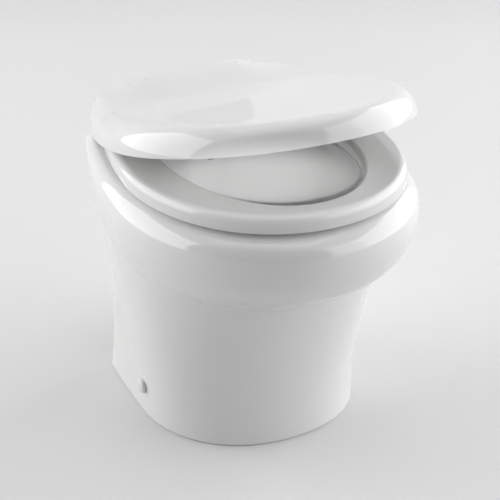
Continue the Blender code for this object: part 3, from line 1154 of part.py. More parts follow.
def flush_hose(barb_x):
    """Hose from the valve's barb up to the nozzle at the back of the basin."""
    nozzle = [(NOZZLE_BORE, 0), (NOZZLE_FLANGE, 0), (NOZZLE_FLANGE, NOZZLE_FLANGE_DEPTH),
              (NOZZLE_HOLE_RADIUS - TOUCH_GAP, NOZZLE_FLANGE_DEPTH),
              (NOZZLE_HOLE_RADIUS - TOUCH_GAP, NOZZLE_FLANGE_DEPTH + NOZZLE_TAIL),
              (NOZZLE_BORE, NOZZLE_FLANGE_DEPTH + NOZZLE_TAIL)]
    nozzle_y = basin_back(NOZZLE_HEIGHT) + NOZZLE_SEAT_DEPTH - TOUCH_GAP - NOZZLE_FLANGE_DEPTH
    finish(aimed(turned(nozzle), (0, nozzle_y, NOZZLE_HEIGHT), (0, 1, 0)), "rim_nozzle", SOFT_WHITE)
    end_y = nozzle_y + NOZZLE_FLANGE_DEPTH + NOZZLE_TAIL + TOUCH_GAP
    start = Vector((barb_x - TOUCH_GAP, VALVE_Y, VALVE_HEIGHT))
    end = Vector((0, end_y, NOZZLE_HEIGHT))
    out = Vector((-HOSE_BEND, 0, 0))
    back = Vector((0, HOSE_BEND, 0))
    up = Vector((0, 0, HOSE_BEND))
    climb = Vector((0, 0, HOSE_LIFT))
    aside = Vector((-HOSE_LIFT / 2, 0, 0))
    points = [start, start + out * 0.7, start + out * 1.4, start + out * 2.3 + up, start + out * 2.4 + up * 3,
              start + out * 1.6 + climb, end + aside + back * 3 - up * 3, end + back * 3 + out * 1.5 - up / 2,
              end + back * 1.6, end + back * 0.8, end]
    route = []
    for index in range(len(points) - 1):
        before = points[max(index - 1, 0)]
        after = points[min(index + 2, len(points) - 1)]
        for share in ROUTE_SHARES:
            route.append(catmull(before, points[index], points[index + 1], after, share))
    route.append(end)
    finish(swept(route, (OUTLET_BARB, WATER_BORE), HOSE_SIDES), "flush_hose", RUBBER)


def catmull(before, here, there, after, share):
    """Point on a smooth curve through four others."""
    square = share * share
    cube = square * share
    return (here * 2 + (there - before) * share + (before * 2 - here * 5 + there * 4 - after) * square
            + (here * 3 - before - there * 3 + after) * cube) / 2


def pivot(name, opening):
    """Empty on the hinge axis that carries a piece turned by the given opening."""
    empty = bpy.data.objects.new(name, None)
    empty.location = HINGE
    empty.rotation_euler = (-opening, 0, 0)
    bpy.context.collection.objects.link(empty)
    return empty


seat_pivot = pivot("seat_pivot", 0)
lid_pivot = pivot("lid_pivot", LID_AJAR)
china_bowl()
seat_ring(seat_pivot)
lid(lid_pivot)
for side_sign, side_label in ((-1, "left"), (1, "right")):
    hinge(side_sign, side_label, seat_pivot)
    side_fixing(side_sign, side_label)
bumpers(seat_pivot, lid_pivot)
macerator()
motor()
motor_mount()
spinning_parts()
discharge()
flush_hose(water_valve())
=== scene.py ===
# A low pedestal toilet with its lid ajar: glazed china, a gloss seat and lid, and the pump behind.
# Metres, +Z up, the nose towards -Y, left is -X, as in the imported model.
import math

import bmesh
import bpy
import numpy as np
from mathutils import Matrix, Vector


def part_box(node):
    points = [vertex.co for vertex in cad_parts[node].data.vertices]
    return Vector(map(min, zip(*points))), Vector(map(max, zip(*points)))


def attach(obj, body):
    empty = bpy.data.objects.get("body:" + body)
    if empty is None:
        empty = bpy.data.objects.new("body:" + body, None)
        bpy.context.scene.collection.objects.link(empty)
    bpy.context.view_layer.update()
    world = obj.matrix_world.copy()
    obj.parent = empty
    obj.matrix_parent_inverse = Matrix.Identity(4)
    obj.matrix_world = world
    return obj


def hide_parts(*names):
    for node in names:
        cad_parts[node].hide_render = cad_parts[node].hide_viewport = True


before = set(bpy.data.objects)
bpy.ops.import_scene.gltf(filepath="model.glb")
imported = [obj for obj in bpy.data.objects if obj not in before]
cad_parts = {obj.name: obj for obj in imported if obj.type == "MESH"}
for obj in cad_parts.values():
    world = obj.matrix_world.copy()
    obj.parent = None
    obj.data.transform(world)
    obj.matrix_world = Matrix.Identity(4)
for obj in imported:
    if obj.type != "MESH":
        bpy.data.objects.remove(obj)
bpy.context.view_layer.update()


# The china bowl is one slip-cast piece of white vitreous china under a clear gloss glaze. The foot is
# hollow and open at the floor, the basin hangs inside it, and the back is open in an arch for the
# pipes. It is fired whole, so every edge is soft.
RIM_HEIGHT = 0.3455
WAIST_HEIGHT = 0.110
CREASE_HEIGHT = 0.240
BELLY_HEIGHT = 0.312
BELLY_DROP = 0.112
SHOULDER = 0.020
BACK_SHOULDER = 0.009
MIDDLE_Y = -0.007
CHINA_CENTRE = 0.033
FOOT_MIDDLE = 0.037
BELLY_CENTRE = 0.053
HALF_WIDTHS = (0.1463, 0.1563, 0.1765, 0.187)
NOSES = (0.145, 0.146, 0.1935, 0.228)
BACK_HALVES = (0.1365, 0.126, 0.133, 0.1486)
FOOT_BACK = 0.137
BACK_LEAN = 0.038
RIM_HALF_WIDTH = 0.183
RIM_NOSE = 0.207
RIM_TAIL = 0.403
RIM_BACK = 0.221
RIM_CORNER = 0.045
BELLY_BULGE = 0.0107
CREASE_BLEND = 0.008
CHINA_WALL = 0.009
DECK_THICKNESS = 0.014
NOSE_POWER = 2.08
TAIL_POWER = 1.54
FOOT_POWER = 2.15
FOOT_TAPER = 1.64
BELLY_FALL = 1.92
BELLY_ROUND = 3.5
BACK_STARTS = 0.86
BACK_FULL = 0.97
CORNER_SPREAD = math.radians(14)
CORNER_CROWD = 1.6
BASIN_MIDDLE = 0.003
BASIN_HALF_WIDTH = 0.126
BASIN_NOSE = 0.181
BASIN_BACK = 0.119
BASIN_LIP = 0.005
BASIN_DEPTH = 0.178
BASIN_DEPTHS = (0, 0.07, 0.17, 0.32, 0.48, 0.64, 0.79, 0.91, 1.0)
BASIN_SIZES = (1.0, 1.04, 1.05, 1.02, 0.94, 0.81, 0.63, 0.43, 0.24)
ROUND_FROM = 0.3
OUTLET_Y = 0.0035
OUTLET_RADIUS = 0.027
SPIGOT_WALL = 0.009
SPIGOT_LENGTH = 0.0325
FOOT_ROUND = 0.002
ARCH_HALF_WIDTH = 0.095
ARCH_HEIGHT = 0.215
ARCH_DEPTH = 0.020
POST_X = 0.078
HINGE_Y = 0.187
BOLT_HOLE_RADIUS = 0.006
FIXING_Y = 0.036
FIXING_HEIGHT = 0.045
SCREW_HOLE_RADIUS = 0.0035
NOZZLE_HEIGHT = 0.316
NOZZLE_HOLE_RADIUS = 0.0075
NOZZLE_RECESS_RADIUS = 0.0115
NOZZLE_RECESS_DEPTH = 0.0015
NOZZLE_TAIL = 0.022
OVERRUN = 0.010
CRACK = 0.000002
HALF_STATIONS = 112
OUTLINE_POINTS = 2400
WALL_RINGS = 110
NECK_RINGS = 6
SHOULDER_RINGS = 10
SHOULDER_TURN = math.radians(80)
LIP_RINGS = 8
BASIN_RINGS = 64
INNER_STRIDE = 3
WIDE_SIDES = 96
SIDES = 64
HOLE_SIDES = 48
SMOOTH_ANGLE = 40
CRISP_ANGLE = 32
EDGE_ANGLE = 35
RIGHT = (1, 0, 0)
BACK = (0, 1, 0)
UP = (0, 0, 1)
TONE_DETAIL = 4
TONE_SHARES = (0.3, 0.7)
BUMP_DETAIL = 3


def smoothstep(value, low, high):
    """Rises softly from 0 to 1 between two places."""
    share = np.clip((value - low) / (high - low), 0, 1)
    return share * share * (3 - 2 * share)


def half_outline(half_width, nose, nose_power, tail, tail_power, back, corner, middle):
    """Right half of a plan outline: a rounded nose, a cut-off tail and a straight back."""
    turn = np.linspace(0, math.pi / 2, OUTLINE_POINTS)
    x = half_width * np.sin(turn) ** (2 / nose_power)
    y = -nose * np.cos(turn) ** (2 / nose_power)
    run = np.linspace(0, back - corner, OUTLINE_POINTS)
    side = half_width * (1 - (run / tail) ** tail_power) ** (1 / tail_power)
    slope = (side[-1] - side[-2]) / (run[-1] - run[-2])
    round_x = side[-1] + slope * corner * np.sin(turn) - corner * (1 - np.cos(turn))
    round_y = run[-1] + corner * np.sin(turn)
    straight = np.linspace(round_x[-1], 0, OUTLINE_POINTS)
    x = np.concatenate([x, side, round_x, straight])
    y = np.concatenate([y, run, round_y, np.full(OUTLINE_POINTS, back)])
    return x, y + middle


def station_angles():
    """Angles of the right half's stations about the china's centre, closer together at the corner."""
    even = np.linspace(-math.pi / 2, math.pi / 2, OUTLINE_POINTS)
    corner = math.atan2(RIM_BACK - RIM_CORNER / 2, HALF_WIDTHS[1])
    crowd = 1 + CORNER_CROWD * np.exp(-(((even - corner) / CORNER_SPREAD) ** 2))
    total = np.concatenate([[0], np.cumsum((crowd[1:] + crowd[:-1]) / 2)])
    return np.interp(np.linspace(0, total[-1], HALF_STATIONS + 1), total, even)


ANGLES = station_angles()


def reaches(x, y):
    """Reach of a half outline from the china's centre at each station."""
    angle = np.arctan2(y - CHINA_CENTRE, x)
    order = np.argsort(angle)
    return np.interp(ANGLES, angle[order], np.hypot(x, y - CHINA_CENTRE)[order])


def plan_ring(reach, height):
    """A closed ring of stations from the nose round, mirrored about the middle."""
    x = reach * np.cos(ANGLES)
    x[0] = 0
    x[-1] = 0
    y = CHINA_CENTRE + reach * np.sin(ANGLES)
    right = np.column_stack([x, y, np.broadcast_to(height, x.shape)])
    left = right[-2:0:-1] * [-1, 1, 1]
    return np.vstack([right, left])


def set_off(grid, distance):
    """The grid of rings moved along its own normals."""
    along = np.roll(grid, -1, axis=1) - np.roll(grid, 1, axis=1)
    across = np.gradient(grid, axis=0)
    normal = np.cross(along, across)
    normal /= np.linalg.norm(normal, axis=2, keepdims=True)
    moved = grid + normal * distance
    moved[:, 0, 0] = 0
    moved[:, HALF_STATIONS, 0] = 0
    return moved


RIM_REACH = reaches(*half_outline(RIM_HALF_WIDTH, RIM_NOSE, NOSE_POWER, RIM_TAIL, TAIL_POWER, RIM_BACK,
                                  RIM_CORNER, MIDDLE_Y))
BACKNESS = smoothstep(np.sin(ANGLES), BACK_STARTS, BACK_FULL)
SHOULDERS = SHOULDER + (BACK_SHOULDER - SHOULDER) * BACKNESS


def at_height(values, height):
    """Value at a height on the smooth curve through the four stations of the china."""
    stations = (0, WAIST_HEIGHT, CREASE_HEIGHT, RIM_HEIGHT)
    return np.polyval(np.polyfit(stations, values, 3), height)


def column_reach(height):
    """The flared foot, widest at the back."""
    half = at_height(HALF_WIDTHS, height)
    nose = at_height(NOSES, height)
    back_half = at_height(BACK_HALVES, height)
    back = FOOT_BACK + BACK_LEAN * height / RIM_HEIGHT
    turn = np.linspace(0, math.pi / 2, OUTLINE_POINTS)
    run = np.linspace(0, 1, OUTLINE_POINTS)
    x = np.concatenate([half * np.sin(turn) ** (2 / FOOT_POWER),
                        half + (back_half - half) * run ** FOOT_TAPER, back_half * run[::-1]])
    y = np.concatenate([-nose * np.cos(turn) ** (2 / FOOT_POWER), back * run, np.full(OUTLINE_POINTS, back)])
    return reaches(x, y + FOOT_MIDDLE)


def belly_reach(height):
    """The bowl's belly, which shrinks towards its own centre below its widest height."""
    fall = min(max((BELLY_HEIGHT - height) / BELLY_DROP, 0), 1)
    share = (1 - fall ** BELLY_FALL) ** (1 / BELLY_ROUND)
    if share == 0:
        return np.zeros(len(ANGLES))
    x = RIM_REACH * np.cos(ANGLES) * share
    y = (CHINA_CENTRE + RIM_REACH * np.sin(ANGLES) - BELLY_CENTRE) * share + BELLY_CENTRE
    below = min((RIM_HEIGHT - height) / (RIM_HEIGHT - BELLY_HEIGHT), 1)
    return reaches(x, y) + BELLY_BULGE * (1 - BACKNESS) * (1 - (1 - below) ** 2) * share


def china_reach(height):
    """Foot and belly blended at their crease, and rounded at the shoulder."""
    column = column_reach(height)
    belly = belly_reach(height)
    share = np.clip(0.5 + 0.5 * (column - belly) / CREASE_BLEND, 0, 1)
    both = belly + (column - belly) * share + CREASE_BLEND * share * (1 - share)
    rise = np.clip(height - (RIM_HEIGHT - SHOULDERS), 0, SHOULDERS)
    return both - (SHOULDERS - np.sqrt(SHOULDERS ** 2 - rise ** 2))


def basin_rings():
    """Rings of the basin's inner surface from the rim's edge down to the outlet."""
    edge = reaches(*half_outline(BASIN_HALF_WIDTH, BASIN_NOSE, NOSE_POWER, BASIN_BACK + BASIN_MIDDLE,
                                 NOSE_POWER, BASIN_BACK, BASIN_LIP, BASIN_MIDDLE))
    edge = plan_ring(edge, RIM_HEIGHT)
    start = BASIN_LIP / BASIN_DEPTH
    rings = []
    for depth in np.linspace(start, 1, BASIN_RINGS):
        size = float(natural(BASIN_DEPTHS, BASIN_SIZES, depth))
        toward = 1 - smoothstep(depth, ROUND_FROM, 1)
        middle = OUTLET_Y + (BASIN_MIDDLE - OUTLET_Y) * toward
        points = (edge - [0, BASIN_MIDDLE, 0]) * [size, size, 1]
        reach = np.hypot(points[:, 0], points[:, 1])
        round_reach = OUTLET_RADIUS if depth == 1 else reach.mean()
        mixed = (reach * toward + round_reach * (1 - toward)) / reach
        points = points * np.column_stack([mixed, mixed, np.ones(len(mixed))])
        points[:, 1] += middle
        points[:, 2] = RIM_HEIGHT - BASIN_DEPTH * depth
        rings.append(points)
    return edge, np.array(rings)


def natural(places, values, at):
    """A smooth curve through points, by the spline that is free at both ends."""
    x = np.array(places, float)
    y = np.array(values, float)
    gap = np.diff(x)
    slopes = np.diff(y) / gap
    size = len(x)
    matrix = np.eye(size)
    right = np.zeros(size)
    for index in range(1, size - 1):
        matrix[index, index - 1] = gap[index - 1]
        matrix[index, index] = 2 * (gap[index - 1] + gap[index])
        matrix[index, index + 1] = gap[index]
        right[index] = 3 * (slopes[index] - slopes[index - 1])
    bend = np.linalg.solve(matrix, right)
    cell = min(max(int(np.searchsorted(x, at)) - 1, 0), size - 2)
    run = at - x[cell]
    slope = slopes[cell] - gap[cell] * (2 * bend[cell] + bend[cell + 1]) / 3
    cubic = (bend[cell + 1] - bend[cell]) / (3 * gap[cell])
    return y[cell] + slope * run + bend[cell] * run ** 2 + cubic * run ** 3


def choose(piece):
    """Only this piece is selected and active."""
    bpy.ops.object.select_all(action="DESELECT")
    piece.select_set(True)
    bpy.context.view_layer.objects.active = piece


def placed(name, data):
    """A new object in the scene."""
    piece = bpy.data.objects.new(name, data)
    bpy.context.scene.collection.objects.link(piece)
    return piece


def skin(name, rings, closed):
    """A mesh through equal rings: a closed one joins its ends, and an open one ends in two poles."""
    body = bmesh.new()
    rows = [[body.verts.new(point) for point in points] for points in rings]
    pairs = list(zip(rows, rows[1:]))
    count = len(rows[0])
    if closed:
        pairs.append((rows[-1], rows[0]))
    else:
        for row in (rows[0], rows[-1]):
            pole = body.verts.new(sum((vertex.co for vertex in row), Vector()) / count)
            for here in range(count):
                body.faces.new((pole, row[here], row[(here + 1) % count]))
    for low, high in pairs:
        for here in range(count):
            after = (here + 1) % count
            body.faces.new((low[here], low[after], high[after], high[here]))
    mesh = bpy.data.meshes.new(name)
    body.to_mesh(mesh)
    body.free()
    return placed(name, mesh)


def open_up(piece):
    """Takes all of a piece into edit mode."""
    choose(piece)
    bpy.ops.object.mode_set(mode="EDIT")
    bpy.ops.mesh.select_all(action="SELECT")


def soften(piece, degrees=SMOOTH_ANGLE):
    """Turns the faces outwards and shades them smooth up to an angle."""
    open_up(piece)
    bpy.ops.mesh.normals_make_consistent(inside=False)
    bpy.ops.object.mode_set(mode="OBJECT")
    bpy.ops.object.shade_smooth_by_angle(angle=math.radians(degrees))


def settle(piece):
    """Puts the object's place into its mesh."""
    choose(piece)
    bpy.ops.object.transform_apply(location=True, rotation=True, scale=True)


def carve(piece, tool, operation="DIFFERENCE", solver="EXACT"):
    """Cuts or joins another body into a piece, and takes that body away."""
    settle(tool)
    choose(piece)
    step = piece.modifiers.new("carve", "BOOLEAN")
    step.operation = operation
    step.solver = solver
    step.object = tool
    bpy.ops.object.modifier_apply(modifier=step.name)
    bpy.data.objects.remove(tool)


def weld(piece):
    """Closes the hair cracks that a cut can leave, and drops faces without area."""
    open_up(piece)
    bpy.ops.mesh.remove_doubles(threshold=CRACK)
    bpy.ops.mesh.dissolve_degenerate(threshold=CRACK)
    bpy.ops.object.mode_set(mode="OBJECT")


def peg(radius, length, middle, toward, sides=HOLE_SIDES):
    """A plain round body about a point, along a direction: a tool, or the start of a piece."""
    turn = Vector(toward).to_track_quat("Z", "Y").to_euler()
    bpy.ops.mesh.primitive_cylinder_add(vertices=sides, radius=radius, depth=length, location=middle,
                                        rotation=turn)
    return bpy.context.active_object


def brick(low, high):
    """A plain box between two corners."""
    low = Vector(low)
    high = Vector(high)
    bpy.ops.mesh.primitive_cube_add(size=1, location=(low + high) / 2, scale=high - low)
    return bpy.context.active_object


def wall_at(y, height, side):
    """Point and outward normal of the china's outer wall on one side."""
    def surface(place, level):
        points = plan_ring(china_reach(level), level)[: HALF_STATIONS + 1]
        return Vector((np.interp(place, points[:, 1], points[:, 0]), place, level))
    point = surface(y, height)
    along = surface(y + CHINA_WALL, height) - surface(y - CHINA_WALL, height)
    up = surface(y, height + CHINA_WALL) - surface(y, height - CHINA_WALL)
    normal = along.cross(up).normalized()
    point.x *= side
    normal.x *= side
    return point, normal


def set_up(node, **values):
    """Sets sockets of a node, named with underscores for the spaces."""
    for socket, value in values.items():
        node.inputs[socket.replace("_", " ")].default_value = value
    return node


def new_node(tree, kind, **values):
    """A new node in a tree, with some of its sockets set."""
    return set_up(tree.nodes.new(kind), **values)


def new_material(name, **values):
    """A new material with its node tree, and its shader with some of its sockets set."""
    material = bpy.data.materials.new(name)
    material.use_nodes = True
    tree = material.node_tree
    return material, tree, set_up(tree.nodes["Principled BSDF"], **values)


def finish_of(name, pale, deep, rough, spread, grain, metallic=0.0, bump=0.0, bump_grain=0.0, **values):
    """A finish whose colour and gloss drift a little over the piece, with an optional fine bump."""
    finish, tree, shader = new_material(name, Metallic=metallic, **values)
    wires = tree.links
    place = new_node(tree, "ShaderNodeTexCoord")

    def noise(scale, detail):
        pattern = new_node(tree, "ShaderNodeTexNoise", Scale=scale, Detail=detail)
        wires.new(place.outputs["Object"], pattern.inputs["Vector"])
        return pattern.outputs["Fac"]

    drift = noise(grain, TONE_DETAIL)
    tone = new_node(tree, "ShaderNodeValToRGB")
    for stop, share, colour in zip(tone.color_ramp.elements, TONE_SHARES, (deep, pale)):
        stop.position = share
        stop.color = (*colour, 1)
    wires.new(drift, tone.inputs["Fac"])
    wires.new(tone.outputs["Color"], shader.inputs["Base Color"])
    gloss = new_node(tree, "ShaderNodeMapRange", To_Min=rough - spread, To_Max=rough + spread)
    wires.new(drift, gloss.inputs["Value"])
    wires.new(gloss.outputs["Result"], shader.inputs["Roughness"])
    if bump:
        relief = new_node(tree, "ShaderNodeBump", Strength=1, Distance=bump)
        wires.new(noise(bump_grain, BUMP_DETAIL), relief.inputs["Height"])
        wires.new(relief.outputs["Normal"], shader.inputs["Normal"])
    return finish


def dress(piece, finish, slot, body, *nodes):
    """Gives a new piece its finish, its body and the CAD nodes that it stands for."""
    piece.data.materials.clear()
    piece.data.materials.append(finish)
    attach(piece, body)
    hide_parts(*nodes)


GLAZE = finish_of("glazed china", (0.85, 0.85, 0.845), (0.835, 0.835, 0.83), 0.028, 0.008, 9, bump=0.00004,
                  bump_grain=16, IOR=1.6)

heights = np.linspace(0, BELLY_HEIGHT, WALL_RINGS)
shoulder_turns = np.linspace(0, SHOULDER_TURN, SHOULDER_RINGS)
walls = np.array([plan_ring(china_reach(height), height) for height in heights])
foot_edge = plan_ring(china_reach(0) - FOOT_ROUND, 0)
neck = np.linspace(BELLY_HEIGHT, RIM_HEIGHT - SHOULDER, NECK_RINGS)[1:-1]
upper = list(neck) + [RIM_HEIGHT - SHOULDER + SHOULDER * math.sin(turn) for turn in shoulder_turns]
outer = list(walls) + [plan_ring(china_reach(height), height) for height in upper + [RIM_HEIGHT]]
outer[0] = plan_ring(china_reach(FOOT_ROUND), FOOT_ROUND)
edge, basin = basin_rings()
spoke = (edge - [0, BASIN_MIDDLE, 0]) * [1, 1, 0]
spoke /= np.linalg.norm(spoke, axis=1, keepdims=True)
lip = []
for turn in np.linspace(0, math.pi / 2, LIP_RINGS)[:-1]:
    lip.append(edge + spoke * BASIN_LIP * (1 - math.sin(turn)) - [0, 0, BASIN_LIP * (1 - math.cos(turn))])
under = set_off(basin, -CHINA_WALL)
outlet = np.array([0, OUTLET_Y, RIM_HEIGHT - BASIN_DEPTH - SPIGOT_LENGTH])
around_outlet = (basin[-1] - outlet) * [1, 1, 0]
around_outlet /= np.linalg.norm(around_outlet, axis=1, keepdims=True)
spigot_radius = OUTLET_RADIUS + SPIGOT_WALL
spigot = [outlet + around_outlet * OUTLET_RADIUS, outlet + around_outlet * spigot_radius,
          outlet + around_outlet * spigot_radius + [0, 0, SPIGOT_LENGTH - CHINA_WALL / 2]]
deck_bottom = RIM_HEIGHT - DECK_THICKNESS
below_deck = under[under[:, 0, 2] < deck_bottom - CHINA_WALL / 2]
under_top = under[np.argmin(np.abs(under[:, 0, 2] - deck_bottom))].copy()
under_top[:, 2] = deck_bottom
void_top = plan_ring(china_reach(RIM_HEIGHT - SHOULDER) - CHINA_WALL, deck_bottom)
inner = list(set_off(walls, -CHINA_WALL)[::-INNER_STRIDE])
foot = plan_ring(china_reach(0) - CHINA_WALL, 0)
rings = ([foot_edge] + outer + lip + list(basin) + spigot + list(below_deck[-2::-1]) + [under_top, void_top]
         + inner[:-1] + [foot])
china = skin("china_bowl_glazed", rings, closed=True)
soften(china)
back = FOOT_MIDDLE + FOOT_BACK
arch_low = (-ARCH_HALF_WIDTH, back - ARCH_DEPTH, -OVERRUN)
arch_high = (ARCH_HALF_WIDTH, back + BACK_LEAN + OVERRUN, ARCH_HEIGHT - ARCH_HALF_WIDTH)
arch_top = peg(ARCH_HALF_WIDTH, arch_high[1] - arch_low[1],
               (0, (arch_low[1] + arch_high[1]) / 2, arch_high[2]), BACK, WIDE_SIDES)
arch = brick(arch_low, arch_high)
carve(arch, arch_top, "UNION")
carve(china, arch)
for side in (-1, 1):
    bolt_place = (side * POST_X, HINGE_Y, deck_bottom)
    carve(china, peg(BOLT_HOLE_RADIUS, DECK_THICKNESS + 2 * OVERRUN, bolt_place, UP))
    point, normal = wall_at(FIXING_Y, FIXING_HEIGHT, side)
    carve(china, peg(SCREW_HOLE_RADIUS, CHINA_WALL + 2 * OVERRUN, point, normal))
basin_back = np.interp(NOZZLE_HEIGHT, basin[::-1, HALF_STATIONS, 2], basin[::-1, HALF_STATIONS, 1])
recess_end = basin_back + NOZZLE_RECESS_DEPTH
carve(china, peg(NOZZLE_RECESS_RADIUS, OVERRUN, (0, recess_end - OVERRUN / 2, NOZZLE_HEIGHT), BACK))
carve(china, peg(NOZZLE_HOLE_RADIUS, 2 * NOZZLE_TAIL, (0, recess_end, NOZZLE_HEIGHT), BACK))
soften(china)
dress(china, GLAZE, "glazed_china", "pedestal", "china_bowl")


# The seat is a solid ring of gloss white thermoset, moulded with a dished top and a roll at its back
# that turns on the hinge pins.
SEAT_BOTTOM = 0.3495
SEAT_TOP = 0.372
SEAT_HALF_WIDTH = 0.176
SEAT_NOSE = 0.200
SEAT_TAIL = 0.389
SEAT_BACK = 0.163
SEAT_CORNER = 0.022
SEAT_EDGE = 0.010
SEAT_UNDER_EDGE = 0.0025
SEAT_INNER_EDGE = 0.007
SEAT_DISH = 0.002
SEAT_UNDER_RINGS = 6
SEAT_EDGE_RINGS = 14
SEAT_INNER_RINGS = 12
HOLE_HALF_WIDTH = 0.118
HOLE_NOSE = 0.173
HOLE_BACK = 0.111
HINGE_Z = 0.381
HINGE = Vector((0, HINGE_Y, HINGE_Z))
ROLL_RADIUS = 0.033
SEAT_ROLL_RADIUS = 0.014
SEAT_ROLL_HALF = 0.110
BLOCK_DROP = 0.0235
POCKET_HALF = 0.0165
PIN_RADIUS = 0.004
PIN_LENGTH = 0.056
DAMPER_RADIUS = 0.009
DAMPER_LENGTH = 0.016
GAP = 0.0005

GLOSS = finish_of("gloss seat", (0.81, 0.81, 0.805), (0.80, 0.80, 0.795), 0.04, 0.01, 7, bump=0.00003,
                  bump_grain=22, IOR=1.54)

outer_reach = reaches(*half_outline(SEAT_HALF_WIDTH, SEAT_NOSE, NOSE_POWER, SEAT_TAIL, TAIL_POWER, SEAT_BACK,
                                    SEAT_CORNER, MIDDLE_Y))
hole_reach = reaches(*half_outline(HOLE_HALF_WIDTH, HOLE_NOSE, NOSE_POWER, HOLE_BACK + BASIN_MIDDLE,
                                   NOSE_POWER, HOLE_BACK, BASIN_LIP, BASIN_MIDDLE))
rings = []
for turn in np.radians(np.linspace(-90, 0, SEAT_UNDER_RINGS)):
    rings.append(plan_ring(outer_reach - SEAT_UNDER_EDGE * (1 - math.cos(turn)),
                           SEAT_BOTTOM + SEAT_UNDER_EDGE * (1 + math.sin(turn))))
for turn in np.radians(np.linspace(0, 90, SEAT_EDGE_RINGS)):
    rings.append(plan_ring(outer_reach - SEAT_EDGE * (1 - math.cos(turn)),
                           SEAT_TOP - SEAT_EDGE + SEAT_EDGE * math.sin(turn)))
for turn in np.radians(np.linspace(90, 0, SEAT_INNER_RINGS)):
    rings.append(plan_ring(hole_reach + SEAT_INNER_EDGE * (1 - math.cos(turn)),
                           SEAT_TOP - SEAT_DISH - SEAT_INNER_EDGE * (1 - math.sin(turn))))
rings.append(plan_ring(hole_reach + SEAT_INNER_EDGE / 2, SEAT_BOTTOM))
seat = skin("seat_moulding", rings, closed=True)
soften(seat)
carve(seat, brick((-SEAT_ROLL_HALF, MIDDLE_Y + SEAT_BACK - SEAT_CORNER / 2, HINGE_Z - BLOCK_DROP),
                  (SEAT_ROLL_HALF, HINGE_Y, SEAT_TOP - SEAT_DISH)), "UNION")
carve(seat, peg(SEAT_ROLL_RADIUS, 2 * SEAT_ROLL_HALF, HINGE, RIGHT, WIDE_SIDES), "UNION")
for side in (-1, 1):
    middle = side * POST_X
    reach = ROLL_RADIUS + GAP
    carve(seat, brick((middle - POCKET_HALF, HINGE_Y - reach, HINGE_Z - 2 * reach),
                      (middle + POCKET_HALF, HINGE_Y + reach, HINGE_Z + 2 * reach)))
    carve(seat, peg(PIN_RADIUS + GAP, PIN_LENGTH + 2 * GAP, (middle, HINGE_Y, HINGE_Z), RIGHT))
    damper_end = middle + side * (POCKET_HALF + DAMPER_LENGTH)
    carve(seat, peg(DAMPER_RADIUS + GAP, 2 * DAMPER_LENGTH, (damper_end, HINGE_Y, HINGE_Z), RIGHT))
soften(seat, CRISP_ANGLE)
dress(seat, GLOSS, "gloss_seat", "seat", "seat_ring")


# The lid is a thin shell of the same gloss white thermoset. It wraps down over the seat, is dished on
# top, and rises at the back into a roll that hides the hinges. It stands ajar.
LID_HALF_WIDTH = 0.187
LID_NOSE = 0.210
LID_TAIL = 0.401
LID_BACK = 0.227
LID_CORNER = 0.036
LID_NOSE_POWER = 2.1
LID_TAIL_POWER = 1.6
LID_WALL = 0.004
LID_TOP = 0.387
LID_INSET = 0.0136
LID_EDGE = 0.022
FLANK_INSET = 0.0277
FLANK_EDGE = 0.0347
REAR_INSET = 0.028
REAR_EDGE = 0.044
LID_DISH = 0.004
LID_DISH_POWER = 8
LID_AJAR = math.radians(15.75)
ROLL_FULL = 0.053
ROLL_GONE = 0.192
ROLL_LEDGE = 0.75
LID_FALL = 0.0022
LID_FALL_POWER = 2.7
NOSE_FALL = 0.008
NOSE_FALL_REACH = 0.250
ROLL_SIDE_REACH = 0.060
SWEEP_REACH = 0.089
ROLL_ENDS = math.radians(-5)
POST_WIDTH = 0.016
LUG_GAP = 0.002
LUG_WIDTH = 0.0045
LUG_RADIUS = 0.010
NOTCH_HALF_WIDTH = 0.015
NOTCH_TOP = math.radians(66)
NOTCH_BELOW = math.radians(20)
LID_TOP_SHARES = (0.02, 0.99)
LID_TOP_RINGS = 60
LID_EDGE_RINGS = 24
LID_SKIRT_RINGS = 7
ARC_STEPS = 24


def lid_crown(x, y):
    """Height of the lid's top: nearly flat, with a sweep up into a roll that fades to its ends."""
    sweep = smoothstep(y, HINGE_Y - SWEEP_REACH, HINGE_Y)
    roll = (HINGE_Z + ROLL_RADIUS - LID_TOP) * (1 - smoothstep(np.abs(x), ROLL_FULL, ROLL_GONE))
    side_fall = LID_FALL * (np.abs(x) / LID_HALF_WIDTH) ** LID_FALL_POWER
    nose_fall = NOSE_FALL * np.clip((CHINA_CENTRE - y) / NOSE_FALL_REACH, 0, 1) ** 2
    return LID_TOP + roll * sweep - side_fall - nose_fall


outline = plan_ring(reaches(*half_outline(LID_HALF_WIDTH, LID_NOSE, LID_NOSE_POWER, LID_TAIL, LID_TAIL_POWER,
                                          LID_BACK, LID_CORNER, MIDDLE_Y)), 0)
along = np.roll(outline, -1, axis=0) - np.roll(outline, 1, axis=0)
normal = np.column_stack([along[:, 1], -along[:, 0], np.zeros(len(along))])
normal /= np.linalg.norm(normal, axis=1, keepdims=True)
rear = smoothstep(outline[:, 1], HINGE_Y - ROLL_SIDE_REACH, HINGE_Y)
behind = np.clip(normal[:, 1], 0, 1) ** 2 * rear
flank = np.abs(normal[:, 0])
inset = LID_INSET + (FLANK_INSET - LID_INSET) * flank
inset += (REAR_INSET - inset) * rear
drop = LID_EDGE + (FLANK_EDGE - LID_EDGE) * flank
drop += (REAR_EDGE - drop) * rear
rise = np.clip(lid_crown(outline[:, 0], HINGE_Y) - HINGE_Z, LID_WALL, ROLL_RADIUS)
ledge = ROLL_LEDGE * np.sqrt(ROLL_RADIUS ** 2 - rise ** 2)
inset += (ROLL_RADIUS - ledge - inset) * behind
drop += (rise - drop) * behind
rim = outline - normal * inset[:, None]
past = np.clip(outline[:, 1] - HINGE_Y, 0, ROLL_RADIUS)
